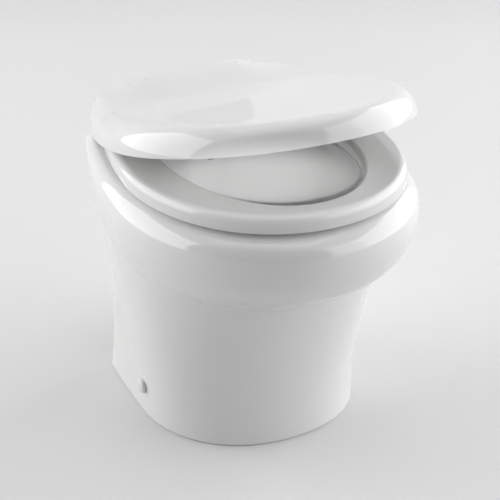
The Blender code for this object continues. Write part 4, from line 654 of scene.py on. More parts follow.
low = HINGE_Z - np.sqrt(ROLL_RADIUS ** 2 - past ** 2)
low = np.where(past > 0, np.maximum(low, SEAT_BOTTOM), SEAT_BOTTOM)
low = np.minimum(low, HINGE_Z + ROLL_RADIUS * math.sin(ROLL_ENDS))
top = lid_crown(rim[:, 0], rim[:, 1])
drop = np.minimum(drop, top - low - LID_WALL / 4)
middle = np.array([0, CHINA_CENTRE, 0])
rings = []
for share in np.linspace(*LID_TOP_SHARES, LID_TOP_RINGS):
    points = middle + (rim - middle) * share
    points[:, 2] = lid_crown(points[:, 0], points[:, 1]) - LID_DISH * (1 - share ** LID_DISH_POWER)
    rings.append(points)
for turn in np.linspace(0, math.pi / 2, LID_EDGE_RINGS):
    points = rim + (outline - rim) * math.sin(turn)
    points[:, 2] = top - drop * (1 - math.cos(turn))
    rings.append(points)
for share in np.linspace(0, 1, LID_SKIRT_RINGS)[1:]:
    points = outline.copy()
    points[:, 2] = top - drop + (low - top + drop) * share
    rings.append(points)
outer = np.array(rings)
inner = set_off(outer, LID_WALL)
inner[-1][:, 2] = outer[-1][:, 2]
lid = skin("lid_moulding", list(inner) + list(outer[::-1]), closed=False)
soften(lid)


def slice_of(points, low, high):
    """A body that is the same all along x: a tool for the lid's back, or a lug."""
    body = bmesh.new()
    face = body.faces.new([body.verts.new((low, y, z)) for y, z in points])
    moved = bmesh.ops.extrude_face_region(body, geom=[face])
    new = [item for item in moved["geom"] if isinstance(item, bmesh.types.BMVert)]
    bmesh.ops.translate(body, verts=new, vec=Vector((high - low, 0, 0)))
    bmesh.ops.recalc_face_normals(body, faces=body.faces)
    mesh = bpy.data.meshes.new("slice")
    body.to_mesh(mesh)
    body.free()
    return placed("slice", mesh)


def bow(radius, start, end):
    """Points of an arc about the hinge axis."""
    turns = np.linspace(start, end, ARC_STEPS + 1)
    return [(HINGE_Y + radius * math.cos(turn), HINGE_Z + radius * math.sin(turn)) for turn in turns]


for side in (-1, 1):
    centre = side * POST_X
    wedge = [(HINGE_Y, HINGE_Z)] + bow(ROLL_RADIUS + OVERRUN, -NOTCH_BELOW, NOTCH_TOP)
    carve(lid, slice_of(wedge, centre - NOTCH_HALF_WIDTH, centre + NOTCH_HALF_WIDTH))
    for face in (-1, 1):
        near = centre + face * (POST_WIDTH / 2 + LUG_GAP)
        far = near + face * LUG_WIDTH
        roof = float(lid_crown(far, HINGE_Y)) - LID_WALL + 2 * GAP
        lug = bow(LUG_RADIUS, math.pi, 2 * math.pi)
        lug += [(HINGE_Y + LUG_RADIUS, roof), (HINGE_Y - LUG_RADIUS, roof)]
        carve(lid, slice_of(lug, min(near, far), max(near, far)), "UNION")
    carve(lid, peg(PIN_RADIUS + GAP, PIN_LENGTH, (centre, HINGE_Y, HINGE_Z), RIGHT))
swing = Matrix.Translation(HINGE) @ Matrix.Rotation(-LID_AJAR, 4, "X") @ Matrix.Translation(-HINGE)
lid.data.transform(swing)
soften(lid, CRISP_ANGLE)
dress(lid, GLOSS, "gloss_seat", "cover", "lid")


# The two side caps are pressed, slightly domed plastic buttons over the screws that hold the foot to
# its floor brackets. The screws, the brackets and their floor bolts sit inside the hollow foot.
CAP_RADIUS = 0.0100
CAP_DEPTH = 0.0055
CAP_POCKET_RADIUS = 0.0062
CAP_POCKET_DEPTH = 0.004
SEAM = GAP / 20
CORNER_STEPS = 6
CAP_DOME = ((1.0, 0.0), (1.0, 0.30), (0.985, 0.48), (0.93, 0.66), (0.80, 0.83), (0.58, 0.94), (0.30, 0.99))
SOFT_WHITE = finish_of("soft white plastic", (0.79, 0.79, 0.78), (0.765, 0.765, 0.755), 0.34, 0.04, 160,
                       bump=0.00002, bump_grain=900)
STEEL = finish_of("zinc plated steel", (0.62, 0.62, 0.64), (0.50, 0.50, 0.53), 0.34, 0.09, 130, 1.0,
                  bump=0.00006, bump_grain=420)
NYLON = finish_of("dark moulded nylon", (0.060, 0.060, 0.064), (0.045, 0.045, 0.048), 0.44, 0.07, 90,
                  bump=0.00008, bump_grain=650)


def turned(name, profile, place, toward, steps=SIDES):
    """A piece spun from its half profile of radius and height pairs, set up from a place."""
    mesh = bpy.data.meshes.new(name)
    links = [(index, index + 1) for index in range(len(profile) - 1)]
    mesh.from_pydata([(radius, 0, height) for radius, height in profile], links, [])
    piece = placed(name, mesh)
    open_up(piece)
    bpy.ops.mesh.spin(steps=steps, angle=2 * math.pi, center=(0, 0, 0), axis=UP)
    bpy.ops.mesh.select_all(action="SELECT")
    bpy.ops.mesh.remove_doubles(threshold=SEAM)
    bpy.ops.mesh.normals_make_consistent(inside=False)
    bpy.ops.object.mode_set(mode="OBJECT")
    piece.location = place
    piece.rotation_euler = Vector(toward).to_track_quat("Z", "Y").to_euler()
    settle(piece)
    return piece


def edge_curve(radius, edge):
    """Half profile of a rounded edge, from an end face at no height out to a radius."""
    turns = np.linspace(0, math.pi / 2, CORNER_STEPS)
    return [(radius - edge * (1 - math.sin(turn)), edge * (1 - math.cos(turn))) for turn in turns]


def rounded(outer, inner, length, edge):
    """Closed half profile of a sleeve, or of a disc where the bore is zero, with rounded outer edges."""
    low = edge_curve(outer, edge)
    high = [(radius, length - rise) for radius, rise in reversed(low)]
    if inner:
        return [(inner, 0)] + low + high + [(inner, length), (inner, 0)]
    return [(0, 0)] + low + high + [(0, length)]


def ease(piece, width, segments=3):
    """Rounds the sharp edges of a piece for good."""
    choose(piece)
    step = piece.modifiers.new("ease", "BEVEL")
    step.width = width
    step.segments = segments
    step.limit_method = "ANGLE"
    step.angle_limit = math.radians(EDGE_ANGLE)
    bpy.ops.object.modifier_apply(modifier=step.name)


def clothe(finish, *nodes):
    """Gives a finish to CAD nodes whose shape is right as it is."""
    for node in nodes:
        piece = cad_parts[node]
        piece.data.materials.clear()
        piece.data.materials.append(finish)


def twin(piece, name, change):
    """A copy of a piece with its own mesh, moved or mirrored, its faces turned outwards again."""
    other = placed(name, piece.data.copy())
    other.data.transform(change)
    soften(other)
    return other


MIRROR = Matrix.Scale(-1, 4, RIGHT)
point, normal = wall_at(FIXING_Y, FIXING_HEIGHT, -1)
dome = [(share * CAP_RADIUS, rise * CAP_DEPTH) for share, rise in CAP_DOME]
pocket = [(0, CAP_POCKET_DEPTH), (CAP_POCKET_RADIUS, CAP_POCKET_DEPTH), (CAP_POCKET_RADIUS, 0)]
left_cap = turned("side_cap_left", pocket + dome + [(0, CAP_DEPTH)], point + normal * GAP, normal)
soften(left_cap)
for cap, label in ((left_cap, "left"), (twin(left_cap, "side_cap_right", MIRROR), "right")):
    dress(cap, SOFT_WHITE, "soft_white", "pedestal", "screw_cap_" + label)
    clothe(STEEL, "side_screw_" + label, "floor_bolt_" + label)
    clothe(NYLON, "floor_bracket_" + label)


# The hinge posts are cast, chromed metal, each one piece with its round flange. A steel pin runs through
# each barrel with a grease damper beside it, and a stud, a rubber washer and a nut clamp it to the deck.
TOUCH = 0.0003
FLANGE_RADIUS = 0.013
FLANGE_HEIGHT = 0.003
POST_DEPTH = 0.010
POST_RADIUS = 0.008
POST_EASE = 0.0009
SOCKET_RADIUS = 0.0043
SOCKET_DEPTH = 0.0043
CHROME = finish_of("hinge chrome", (0.82, 0.82, 0.84), (0.76, 0.76, 0.78), 0.12, 0.03, 60, 1.0)
RUBBER = finish_of("black rubber", (0.040, 0.040, 0.040), (0.028, 0.028, 0.028), 0.62, 0.08, 90,
                   bump=0.00008, bump_grain=520)

deck = RIM_HEIGHT + TOUCH
post = turned("hinge_post_cast_left", rounded(FLANGE_RADIUS, 0, FLANGE_HEIGHT, POST_EASE),
              (-POST_X, HINGE_Y, deck), UP)
carve(post, brick((-POST_X - POST_WIDTH / 2, HINGE_Y - POST_DEPTH / 2, deck + FLANGE_HEIGHT / 2),
                  (-POST_X + POST_WIDTH / 2, HINGE_Y + POST_DEPTH / 2, HINGE_Z)), "UNION")
carve(post, peg(POST_RADIUS, POST_WIDTH, (-POST_X, HINGE_Y, HINGE_Z), RIGHT, SIDES), "UNION")
ease(post, POST_EASE / 2)
carve(post, peg(PIN_RADIUS + TOUCH, 2 * POST_WIDTH, (-POST_X, HINGE_Y, HINGE_Z), RIGHT, SIDES))
carve(post, peg(SOCKET_RADIUS, 2 * SOCKET_DEPTH, (-POST_X, HINGE_Y, deck), UP))
soften(post)
for piece, label in ((post, "left"), (twin(post, "hinge_post_cast_right", MIRROR), "right")):
    dress(piece, CHROME, "hinge_chrome", "pedestal", "hinge_post_" + label)
    clothe(STEEL, "hinge_pin_" + label, "hinge_stud_" + label)
    clothe(NYLON, "hinge_damper_" + label, "hinge_nut_" + label)
    clothe(RUBBER, "hinge_washer_" + label)


# Soft round pads keep the seat off the china and the lid off the seat. They are moulded and pressed
# on, four under the seat and two under the lid's nose.
PAD_RADIUS = 0.006
PAD_EDGE = 0.0009
PAD_SIDES = 40


def round_pad(name, low, high):
    """A pad that stands in a box between two corners."""
    base = ((low.x + high.x) / 2, (low.y + high.y) / 2, low.z)
    return turned(name, rounded(PAD_RADIUS, 0, high.z - low.z, PAD_EDGE), base, UP, PAD_SIDES)


low, high = (Vector(corner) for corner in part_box("seat_bumper_nose_left"))
pad = round_pad("seat_pad_nose_left", low, high)
soften(pad)
dress(pad, SOFT_WHITE, "soft_white", "seat", "seat_bumper_nose_left")
for label in ("nose_right", "side_left", "side_right"):
    move = Matrix.Translation(Vector(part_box("seat_bumper_" + label)[0]) - low)
    dress(twin(pad, "seat_pad_" + label, move), SOFT_WHITE, "soft_white", "seat", "seat_bumper_" + label)
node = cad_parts["lid_bumper_left"]
closed = [swing.inverted() @ (node.matrix_world @ vertex.co) for vertex in node.data.vertices]
low = Vector([min(corner[axis] for corner in closed) for axis in range(3)])
high = Vector([max(corner[axis] for corner in closed) for axis in range(3)])
lid_pad = round_pad("lid_pad_left", low, high)
lid_pad.data.transform(swing)
soften(lid_pad)
for pad, label in ((lid_pad, "left"), (twin(lid_pad, "lid_pad_right", MIRROR), "right")):
    dress(pad, SOFT_WHITE, "soft_white", "cover", "lid_bumper_" + label)


# The rim nozzle is a small moulded plastic jet that clips into the back of the basin and takes the
# flush hose behind it.
NOZZLE_FLANGE = 0.011
NOZZLE_FLANGE_DEPTH = 0.0025
NOZZLE_BORE = 0.004
NOZZLE_EDGE = 0.0015

low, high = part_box("rim_nozzle")
jet = [(NOZZLE_BORE, 0)] + edge_curve(NOZZLE_FLANGE, NOZZLE_EDGE)
jet += [(NOZZLE_FLANGE, NOZZLE_FLANGE_DEPTH), (NOZZLE_HOLE_RADIUS - TOUCH, NOZZLE_FLANGE_DEPTH),
        (NOZZLE_HOLE_RADIUS - TOUCH, high[1] - low[1]), (NOZZLE_BORE, high[1] - low[1]), (NOZZLE_BORE, 0)]
nozzle = turned("rim_jet", jet, (0, low[1], NOZZLE_HEIGHT), BACK)
soften(nozzle)
dress(nozzle, SOFT_WHITE, "soft_white", "pedestal", "rim_nozzle")


# The macerator pump hangs under the basin's outlet: a moulded nylon cup on a rubber sleeve, the volute
# with its side stub behind it, and a plate that closes the volute on the brass wheel and its blade.
PUMP_HEIGHT = 0.102
CUP_RADIUS = 0.0403
CUP_OUTER = 0.0443
CUP_WALL = 0.004
CUP_TOP = 0.152
CUP_BOTTOM = 0.068
VOLUTE_RADIUS = 0.033
VOLUTE_WALL = 0.004
VOLUTE_FRONT = OUTLET_Y + CUP_OUTER + VOLUTE_WALL
VOLUTE_LENGTH = 0.027
NECK_RADIUS = 0.019
STUB_RADIUS = 0.0130
STUB_BORE = 0.0095
STUB_X = 0.044
STUB_RISE = 0.010
STUB_SIDES = 60
PUMP_EASE = 0.0012
PLATE_THICKNESS = 0.006
SEAL_RADIUS = 0.0085
SEAL_DEPTH = 0.003
SHAFT_RADIUS = 0.004
BRASS = finish_of("cast brass", (0.72, 0.56, 0.27), (0.60, 0.45, 0.20), 0.30, 0.08, 90, 1.0, bump=0.00005,
                  bump_grain=380)

volute_back = VOLUTE_FRONT + VOLUTE_LENGTH
volute_start = OUTLET_Y + CUP_RADIUS / 2
stub = Vector((0, VOLUTE_FRONT + VOLUTE_LENGTH / 2, PUMP_HEIGHT + STUB_RISE))
pump = turned("macerator_casing", rounded(CUP_OUTER, 0, CUP_TOP - CUP_BOTTOM, PUMP_EASE),
              (0, OUTLET_Y, CUP_BOTTOM), UP, WIDE_SIDES)
volute = turned("volute", rounded(VOLUTE_RADIUS, 0, volute_back - volute_start, PUMP_EASE),
                (0, volute_start, PUMP_HEIGHT), BACK, WIDE_SIDES)
spout = peg(STUB_RADIUS, STUB_X, stub + Vector((STUB_X / 2, 0, 0)), RIGHT, STUB_SIDES)
for body in (volute, spout):
    carve(pump, body, "UNION", "MANIFOLD")
cup_middle = (0, OUTLET_Y, CUP_BOTTOM + CUP_WALL + CUP_TOP / 2)
hollow_middle = (0, VOLUTE_FRONT + (OVERRUN + VOLUTE_LENGTH) / 2, PUMP_HEIGHT)
neck_middle = (0, (volute_back + OUTLET_Y) / 2, PUMP_HEIGHT)
for radius, length, middle, toward, sides in (
        (CUP_RADIUS, CUP_TOP, cup_middle, UP, WIDE_SIDES),
        (VOLUTE_RADIUS - VOLUTE_WALL, OVERRUN + VOLUTE_LENGTH, hollow_middle, BACK, WIDE_SIDES),
        (NECK_RADIUS, volute_back - OUTLET_Y, neck_middle, BACK, SIDES),
        (STUB_BORE, STUB_X, stub + Vector((VOLUTE_WALL + STUB_X / 2, 0, 0)), RIGHT, SIDES)):
    carve(pump, peg(radius, length, middle, toward, sides), solver="MANIFOLD")
weld(pump)
soften(pump, CRISP_ANGLE)
dress(pump, NYLON, "dark_nylon", "pedestal", "macerator_housing")
disc = [(SHAFT_RADIUS + GAP, 0), (VOLUTE_RADIUS, 0)]
disc += [(radius, PLATE_THICKNESS - rise) for radius, rise in reversed(edge_curve(VOLUTE_RADIUS, PUMP_EASE))]
disc += [(SEAL_RADIUS + TOUCH, PLATE_THICKNESS), (SEAL_RADIUS + TOUCH, PLATE_THICKNESS - SEAL_DEPTH),
         (SHAFT_RADIUS + GAP, PLATE_THICKNESS - SEAL_DEPTH), (SHAFT_RADIUS + GAP, 0)]
plate = turned("volute_plate", disc, (0, volute_back + TOUCH, PUMP_HEIGHT), BACK, WIDE_SIDES)
soften(plate, CRISP_ANGLE)
dress(plate, NYLON, "dark_nylon", "pedestal", "pump_back_plate")
clothe(RUBBER, "outlet_gasket", "shaft_seal")
clothe(BRASS, "impeller")
clothe(STEEL, "chopper_blade", "blade_nut")


# The motor is a plain 12 V one: a painted steel case with two magnets round a copper wound rotor, an
# end cap, and a wiring box on top. It lies in a nylon saddle on the floor under a steel strap.
MOTOR_RADIUS = 0.028
MOTOR_WALL = 0.0025
MOTOR_LENGTH = 0.074
MOTOR_FACE = 0.006
MOTOR_EASE = 0.0016
BEARING_RADIUS = 0.0105
BEARING_DEPTH = 0.005
END_DEPTH = 0.009
END_DOME = ((1.0, 0.62), (0.985, 0.74), (0.95, 0.85), (0.89, 0.94), (0.80, 0.99))
BOX_EASE = 0.0010
STRAP_EASE = 0.0004
STRAP_THICKNESS = 0.002
STRAP_STEPS = 2
MOTOR_PAINT = finish_of("motor paint", (0.12, 0.13, 0.15), (0.085, 0.092, 0.11), 0.36, 0.07, 70, 0.2,
                        bump=0.00008, bump_grain=320)
COPPER = finish_of("wound copper", (0.70, 0.37, 0.21), (0.56, 0.27, 0.15), 0.32, 0.08, 120, 1.0, bump=0.0001,
                   bump_grain=700)
MAGNET = finish_of("ferrite magnet", (0.13, 0.12, 0.12), (0.09, 0.085, 0.085), 0.6, 0.08, 90, 0.4,
                   bump=0.00005, bump_grain=500)

motor_front = volute_back + 2 * TOUCH + PLATE_THICKNESS
motor_back = motor_front + MOTOR_LENGTH
seat_radius = BEARING_RADIUS + TOUCH
shell = [(seat_radius, 0)] + edge_curve(MOTOR_RADIUS, MOTOR_EASE)
shell += [(MOTOR_RADIUS, MOTOR_LENGTH), (MOTOR_RADIUS - MOTOR_WALL, MOTOR_LENGTH),
          (MOTOR_RADIUS - MOTOR_WALL, MOTOR_FACE), (seat_radius, MOTOR_FACE), (seat_radius, 0)]
case = turned("motor_shell", shell, (0, motor_front, PUMP_HEIGHT), BACK, WIDE_SIDES)
soften(case, CRISP_ANGLE)
dress(case, MOTOR_PAINT, "motor_paint", "pedestal", "motor_case")
pocket = BEARING_DEPTH + 2 * TOUCH
cap = [(0, pocket), (seat_radius, pocket), (seat_radius, 0), (MOTOR_RADIUS, 0)]
cap += [(share * MOTOR_RADIUS, rise * END_DEPTH) for share, rise in END_DOME] + [(0, END_DEPTH)]
end = turned("motor_cap", cap, (0, motor_back + TOUCH, PUMP_HEIGHT), BACK, WIDE_SIDES)
soften(end, CRISP_ANGLE)
dress(end, MOTOR_PAINT, "motor_paint", "pedestal", "motor_end_cap")
motor_middle = (0, (motor_front + motor_back) / 2, PUMP_HEIGHT)
for name, node in (("wiring_box", "terminal_box"), ("motor_saddle", "pump_saddle")):
    low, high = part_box(node)
    piece = brick((low[0], low[1], min(low[2], PUMP_HEIGHT)), high)
    piece.name = name
    settle(piece)
    ease(piece, BOX_EASE)
    carve(piece, peg(MOTOR_RADIUS + TOUCH, 2 * MOTOR_LENGTH, motor_middle, BACK, WIDE_SIDES))
    soften(piece, EDGE_ANGLE)
    dress(piece, NYLON, "dark_nylon", "pedestal", node)
low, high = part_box("motor_strap")
strap_middle = (0, (low[1] + high[1]) / 2, low[2])
strap = peg(MOTOR_RADIUS + TOUCH + STRAP_THICKNESS, high[1] - low[1], strap_middle, BACK, WIDE_SIDES)
strap.name = "motor_clamp"
settle(strap)
carve(strap, brick((low[0], low[1], low[2] - STRAP_THICKNESS), (high[0], high[1], low[2] + STRAP_THICKNESS)),
      "UNION")
carve(strap, brick((low[0] - OVERRUN, low[1] - OVERRUN, low[2] - 2 * MOTOR_RADIUS),
                   (high[0] + OVERRUN, high[1] + OVERRUN, low[2])))
carve(strap, peg(MOTOR_RADIUS + TOUCH, 2 * MOTOR_LENGTH, strap_middle, BACK, WIDE_SIDES))
ease(strap, STRAP_EASE, STRAP_STEPS)
weld(strap)
soften(strap, EDGE_ANGLE)
dress(strap, STEEL, "zinc_steel", "pedestal", "motor_strap")
clothe(STEEL, "front_bearing", "rear_bearing", "motor_shaft")
clothe(COPPER, "motor_rotor", "commutator")
clothe(MAGNET, "motor_magnet_left", "motor_magnet_right")


# The discharge is a bent white plastic pipe that a union nut clamps to the pump's stub. A rubber
# duckbill inside it keeps the waste from running back.
UNION_WALL = 0.004
UNION_EDGE = 0.0011
UNION_RIBS = 24
RIB_DEPTH = 0.0004
RIB_SIDES = 12
PIPE_BEND = 0.024
PIPE_SIDES = 48
BEND_STEPS = 20
PIPE_WHITE = finish_of("white pipe plastic", (0.77, 0.77, 0.75), (0.73, 0.73, 0.71), 0.30, 0.05, 45,
                       bump=0.00003, bump_grain=300)


def piped(name, route, outer, inner, sides):
    """A hose or pipe with a bore, skinned along a route whose cross-sections don't twist."""
    points = [Vector(point) for point in route]
    ways = []
    for index in range(len(points)):
        ways.append((points[min(index + 1, len(points) - 1)] - points[max(index - 1, 0)]).normalized())
    across = ways[0].orthogonal().normalized()
    circles = {outer: [], inner: []}
    for index, (point, way) in enumerate(zip(points, ways)):
        if index:
            across = ways[index - 1].rotation_difference(way) @ across
        beside = way.cross(across)
        for radius, circle in circles.items():
            circle.append([point + (across * math.cos(turn) + beside * math.sin(turn)) * radius
                           for turn in np.linspace(0, 2 * math.pi, sides, endpoint=False)])
    piece = skin(name, circles[outer] + circles[inner][::-1], closed=True)
    soften(piece)
    return piece


low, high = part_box("discharge_union_nut")
nut_length = high[0] - low[0]
nut_radius = STUB_RADIUS + UNION_WALL
nut_middle = Vector(((low[0] + high[0]) / 2, stub.y, stub.z))
nut = turned("union_ring", rounded(nut_radius, STUB_RADIUS, nut_length, UNION_EDGE),
             (low[0], stub.y, stub.z), RIGHT, WIDE_SIDES)
for index in range(UNION_RIBS):
    turn = 2 * math.pi * index / UNION_RIBS
    groove = nut_middle + Vector((0, math.cos(turn), math.sin(turn))) * (nut_radius + RIB_DEPTH)
    carve(nut, peg(2 * RIB_DEPTH, nut_length - 4 * UNION_EDGE, groove, RIGHT, RIB_SIDES))
soften(nut, EDGE_ANGLE)
dress(nut, PIPE_WHITE, "white_pipe", "pedestal", "discharge_union_nut")
bend_middle = Vector((STUB_X + TOUCH + nut_length / 2, stub.y + PIPE_BEND, stub.z))
pipe_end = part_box("discharge_pipe")[1][1]
route = [(STUB_X + TOUCH, stub.y, stub.z)]
for turn in np.linspace(-math.pi / 2, 0, BEND_STEPS):
    route.append(bend_middle + Vector((math.cos(turn), math.sin(turn), 0)) * PIPE_BEND)
route.append((bend_middle.x + PIPE_BEND, pipe_end, stub.z))
pipe = piped("discharge_bend", route, STUB_RADIUS, STUB_BORE, PIPE_SIDES)
dress(pipe, PIPE_WHITE, "white_pipe", "pedestal", "discharge_pipe")
clothe(RUBBER, "duckbill_valve")


# The water valve is a moulded plastic body with a brass inlet, and a potted coil on top that lifts a
# steel plunger off its seat. A black rubber hose takes the water up to the rim nozzle.
VALVE_X = -0.058
VALVE_Y = 0.1485
VALVE_HEIGHT = 0.100
VALVE_RADIUS = 0.015
VALVE_LENGTH = 0.044
VALVE_EDGE = 0.0016
WATER_BORE = 0.006
BORES_MEET = 0.0037
VALVE_SIDES = 72
BARB_SIDES = 44
PLUNGER_SIDES = 52
BOSS_RADIUS = 0.011
BOSS_HEIGHT = 0.022
BARB_RADIUS = 0.008
BARB_LENGTH = 0.014
PLUNGER_RADIUS = 0.0045
GUIDE_WALL = 0.001
COIL_RADIUS = 0.013
COIL_HEIGHT = 0.026
COIL_EDGE = 0.0018
HOSE_BEND = 0.011
HOSE_LIFT = 0.125
HOSE_FROM_VALVE = ((0, 0, 0), (-0.7, 0, 0), (-1.4, 0, 0), (-2.3, 0, 1), (-2.4, 0, 3),
                   (-1.6, 0, HOSE_LIFT / HOSE_BEND))
HOSE_TO_JET = ((-HOSE_LIFT / HOSE_BEND / 2, 3, -3), (-1.5, 3, -0.5), (0, 1.6, 0), (0, 0.8, 0), (0, 0, 0))
HOSE_SHARES = (0, 0.25, 0.5, 0.75)
HOSE_SIDES = 32

valve_middle = Vector((VALVE_X, VALVE_Y, VALVE_HEIGHT))
valve = turned("water_valve_moulding", rounded(VALVE_RADIUS, 0, VALVE_LENGTH, VALVE_EDGE),
               valve_middle - Vector((0, VALVE_LENGTH / 2, 0)), BACK, VALVE_SIDES)
barb_end = VALVE_RADIUS + BARB_LENGTH
for name, radius, length, toward in (("boss", BOSS_RADIUS, BOSS_HEIGHT, UP),
                                     ("barb", BARB_RADIUS, barb_end, (-1, 0, 0))):
    carve(valve, turned(name, rounded(radius, 0, length, TOUCH), valve_middle, toward), "UNION")
for radius, length, shift, toward, sides in (
        (WATER_BORE, VALVE_LENGTH, (0, VALVE_LENGTH / 2 - BORES_MEET, 0), BACK, HOLE_SIDES),
        (WATER_BORE, 2 * barb_end, (BORES_MEET - barb_end, 0, 0), RIGHT, BARB_SIDES),
        (PLUNGER_RADIUS + GAP, 2 * BOSS_HEIGHT, (0, 0, BOSS_HEIGHT - BORES_MEET), UP, PLUNGER_SIDES)):
    carve(valve, peg(radius, length, valve_middle + Vector(shift), toward, sides))
weld(valve)
soften(valve, CRISP_ANGLE)
dress(valve, PIPE_WHITE, "white_pipe", "pedestal", "water_valve_body")
low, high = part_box("solenoid_coil")
coil_bore = PLUNGER_RADIUS + GAP + GUIDE_WALL + TOUCH
coil = turned("solenoid_winding", rounded(COIL_RADIUS, coil_bore, COIL_HEIGHT, COIL_EDGE),
              (VALVE_X, VALVE_Y, low[2]), UP, VALVE_SIDES)
soften(coil, CRISP_ANGLE)
dress(coil, NYLON, "dark_nylon", "pedestal", "solenoid_coil")
low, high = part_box("inlet_fitting")
inlet = turned("inlet_spigot", rounded((high[0] - low[0]) / 2, WATER_BORE, high[1] - low[1], GUIDE_WALL),
               (VALVE_X, low[1], VALVE_HEIGHT), BACK)
soften(inlet, CRISP_ANGLE)
dress(inlet, BRASS, "brass", "pedestal", "inlet_fitting")
clothe(STEEL, "plunger_guide", "valve_plunger", "plunger_spring")
start = Vector((VALVE_X - barb_end - TOUCH, VALVE_Y, VALVE_HEIGHT))
end = Vector((0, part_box("rim_nozzle")[1][1] + TOUCH, NOZZLE_HEIGHT))
knots = [start + Vector(step) * HOSE_BEND for step in HOSE_FROM_VALVE]
knots += [end + Vector(step) * HOSE_BEND for step in HOSE_TO_JET]
route = []
for index in range(len(knots) - 1):
    before = knots[max(index - 1, 0)]
    here = knots[index]
    there = knots[index + 1]
    after = knots[min(index + 2, len(knots) - 1)]
    for share in HOSE_SHARES:
        bend = (there - before) * share + (2 * before - 5 * here + 4 * there - after) * share ** 2
        bend += (3 * here - before - 3 * there + after) * share ** 3
        route.append(here + bend / 2)
route.append(end)
hose = piped("flush_tube", route, BARB_RADIUS, WATER_BORE, HOSE_SIDES)
dress(hose, RUBBER, "black_rubber", "pedestal", "flush_hose")


# The floor is a plain round sheet of pale paper under an even pale sky. It shows pale to the camera and
# in gloss but throws back less light than that, and its tone falls towards the lamps round it.
FLOOR_RADIUS = 2.42
FLOOR_BRIGHT_WITHIN = 1.5
FLOOR_EDGE_TONE = 0.85
FLOOR_PALE = 0.78
FLOOR_DIM = 0.63
SKY_PALE = 0.86
SKY_DIM = 0.26
FLOOR_SIDES = 160
PAPER_ROUGHNESS = 0.9
PAPER_SPECULAR = 0.1


def shown_and_lit(tree, shown, lit):
    """A grey that is one value to camera, gloss and glass, and another as a source of light."""
    rays = new_node(tree, "ShaderNodeLightPath")
    seen = rays.outputs["Is Camera Ray"]
    for kind in ("Is Glossy Ray", "Is Transmission Ray"):
        either = new_node(tree, "ShaderNodeMath")
        either.operation = "MAXIMUM"
        tree.links.new(seen, either.inputs[0])
        tree.links.new(rays.outputs[kind], either.inputs[1])
        seen = either.outputs["Value"]
    grey = new_node(tree, "ShaderNodeMapRange", To_Min=lit, To_Max=shown)
    tree.links.new(seen, grey.inputs["Value"])
    return grey.outputs["Result"]


bpy.ops.mesh.primitive_circle_add(vertices=FLOOR_SIDES, radius=FLOOR_RADIUS, fill_type="NGON")
floor = bpy.context.active_object
floor.name = "floor"
paper, tree, shader = new_material("floor paper", Roughness=PAPER_ROUGHNESS,
                                   Specular_IOR_Level=PAPER_SPECULAR)
wires = tree.links
place = new_node(tree, "ShaderNodeTexCoord")
away = new_node(tree, "ShaderNodeVectorMath")
away.operation = "LENGTH"
wires.new(place.outputs["Object"], away.inputs[0])
fade = new_node(tree, "ShaderNodeMapRange", From_Min=FLOOR_BRIGHT_WITHIN, From_Max=FLOOR_RADIUS, To_Min=1,
                To_Max=FLOOR_EDGE_TONE)
wires.new(away.outputs["Value"], fade.inputs["Value"])
tone = new_node(tree, "ShaderNodeMath")
tone.operation = "MULTIPLY"
wires.new(shown_and_lit(tree, FLOOR_PALE, FLOOR_DIM), tone.inputs[0])
wires.new(fade.outputs["Result"], tone.inputs[1])
wires.new(tone.outputs["Value"], shader.inputs["Base Color"])
floor.data.materials.append(paper)

sky = bpy.data.worlds.new("studio")
bpy.context.scene.world = sky
sky.use_nodes = True
sky.node_tree.links.new(shown_and_lit(sky.node_tree, SKY_PALE, SKY_DIM),
                        sky.node_tree.nodes["Background"].inputs["Color"])

# Two broad soft boxes stand at the toilet's sides and reach the floor, with a dimmer one beside the
# right one and another overhead. A narrow spot from the front falls between lid and seat into the
# basin. A dark card in front and a pale one behind stand between the sky and the glaze.
LIGHT_DISTANCE = 2.6
LEFT_BOX = (-156, -88, 2.9)
RIGHT_BOX = (42, 120, 2.9)
FILL_BOX = (18, 42, 2.6)
SIDE_STRENGTH = 2.35
FILL_STRENGTH = 1.3
OVERHEAD_SIZE = 2.8
OVERHEAD_PLACE = Vector((0.2, 0.3, 3.2))
OVERHEAD_STRENGTH = 0.95
BEAM_PLACE = Vector((-0.84, -1.76, 1.20))
BEAM_AIM = Vector((0.0375, 0.0434, 0.3015))
BEAM_ANGLE = math.radians(8.5)
BEAM_FLATNESS = 0.28
BEAM_BLEND = 0.6
BEAM_RADIUS = 0.02
BEAM_POWER = 115
FRONT_CARD = (-86, 16, 4.6)
REAR_CARD = (154.5, 194, 5.0)
FRONT_TONE = 0.10
REAR_TONE = 0.80
FELT_ROUGHNESS = 0.9


def upright(start, end, height):
    """Width, height and middle of an upright sheet between two angles, counted from the front."""
    turn = math.radians((start + end) / 2)
    width = 2 * LIGHT_DISTANCE * math.tan(math.radians((end - start) / 2))
    middle = Vector((LIGHT_DISTANCE * math.sin(turn), -LIGHT_DISTANCE * math.cos(turn), height / 2))
    return width, height, middle


def soft_box(name, width, height, place, aim, strength):
    """A flat lamp that faces a point and is out of the camera's sight."""
    lamp = bpy.data.lights.new(name, "AREA")
    lamp.shape = "RECTANGLE"
    lamp.size = width
    lamp.size_y = height
    lamp.energy = strength * width * height * math.pi
    box = placed(name, lamp)
    box.location = place
    box.rotation_euler = (aim - place).to_track_quat("-Z", "Y").to_euler()
    box.visible_camera = False


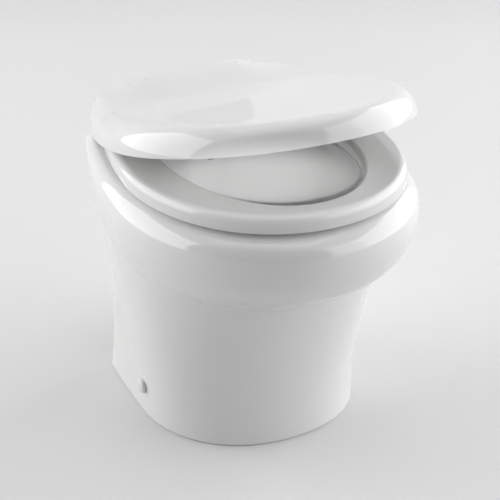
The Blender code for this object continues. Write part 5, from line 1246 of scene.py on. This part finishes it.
def felt_card(name, tone, width, height, place):
    """An upright sheet of grey felt that faces the toilet and is out of the camera's sight."""
    turn = Vector((-place.x, -place.y, 0)).to_track_quat("Z", "Y").to_euler()
    bpy.ops.mesh.primitive_plane_add(size=1, location=place, rotation=turn)
    card = bpy.context.active_object
    card.name = name
    card.scale = (width, height, 1)
    felt = new_material(name, Base_Color=(tone, tone, tone, 1), Roughness=FELT_ROUGHNESS)[0]
    card.data.materials.append(felt)
    card.visible_camera = False


for name, box, strength in (("left box", LEFT_BOX, SIDE_STRENGTH), ("right box", RIGHT_BOX, SIDE_STRENGTH),
                            ("fill box", FILL_BOX, FILL_STRENGTH)):
    width, height, place = upright(*box)
    soft_box(name, width, height, place, Vector((0, 0, place.z)), strength)
soft_box("overhead box", OVERHEAD_SIZE, OVERHEAD_SIZE, OVERHEAD_PLACE, Vector(), OVERHEAD_STRENGTH)
lamp = bpy.data.lights.new("basin beam", "SPOT")
lamp.energy = BEAM_POWER
lamp.spot_size = BEAM_ANGLE
lamp.spot_blend = BEAM_BLEND
lamp.shadow_soft_size = BEAM_RADIUS
beam = placed("basin beam", lamp)
beam.location = BEAM_PLACE
beam.rotation_euler = (BEAM_AIM - BEAM_PLACE).to_track_quat("-Z", "Y").to_euler()
beam.scale = (1, BEAM_FLATNESS, 1)
beam.visible_camera = False
beam.visible_glossy = False
felt_card("front_card", FRONT_TONE, *upright(*FRONT_CARD))
felt_card("rear_card", REAR_TONE, *upright(*REAR_CARD))


# The camera stands where the photograph was taken from, above the front and to the toilet's left, with a
# long lens.
CAMERA_TURN = math.radians(-27.65)
CAMERA_RISE = math.radians(27.10)
CAMERA_DISTANCE = 2.1437
CAMERA_TARGET = Vector((0, 0.0158, 0.2196))
CAMERA_LENS = 118.4
back_way = Vector((math.sin(CAMERA_TURN) * math.cos(CAMERA_RISE),
                   -math.cos(CAMERA_TURN) * math.cos(CAMERA_RISE), math.sin(CAMERA_RISE)))
camera = placed("camera", bpy.data.cameras.new("camera"))
camera.data.lens = CAMERA_LENS
camera.location = CAMERA_TARGET + back_way * CAMERA_DISTANCE
camera.rotation_euler = back_way.to_track_quat("Z", "Y").to_euler()
bpy.context.scene.camera = camera
bpy.context.scene.view_settings.view_transform = "Standard"
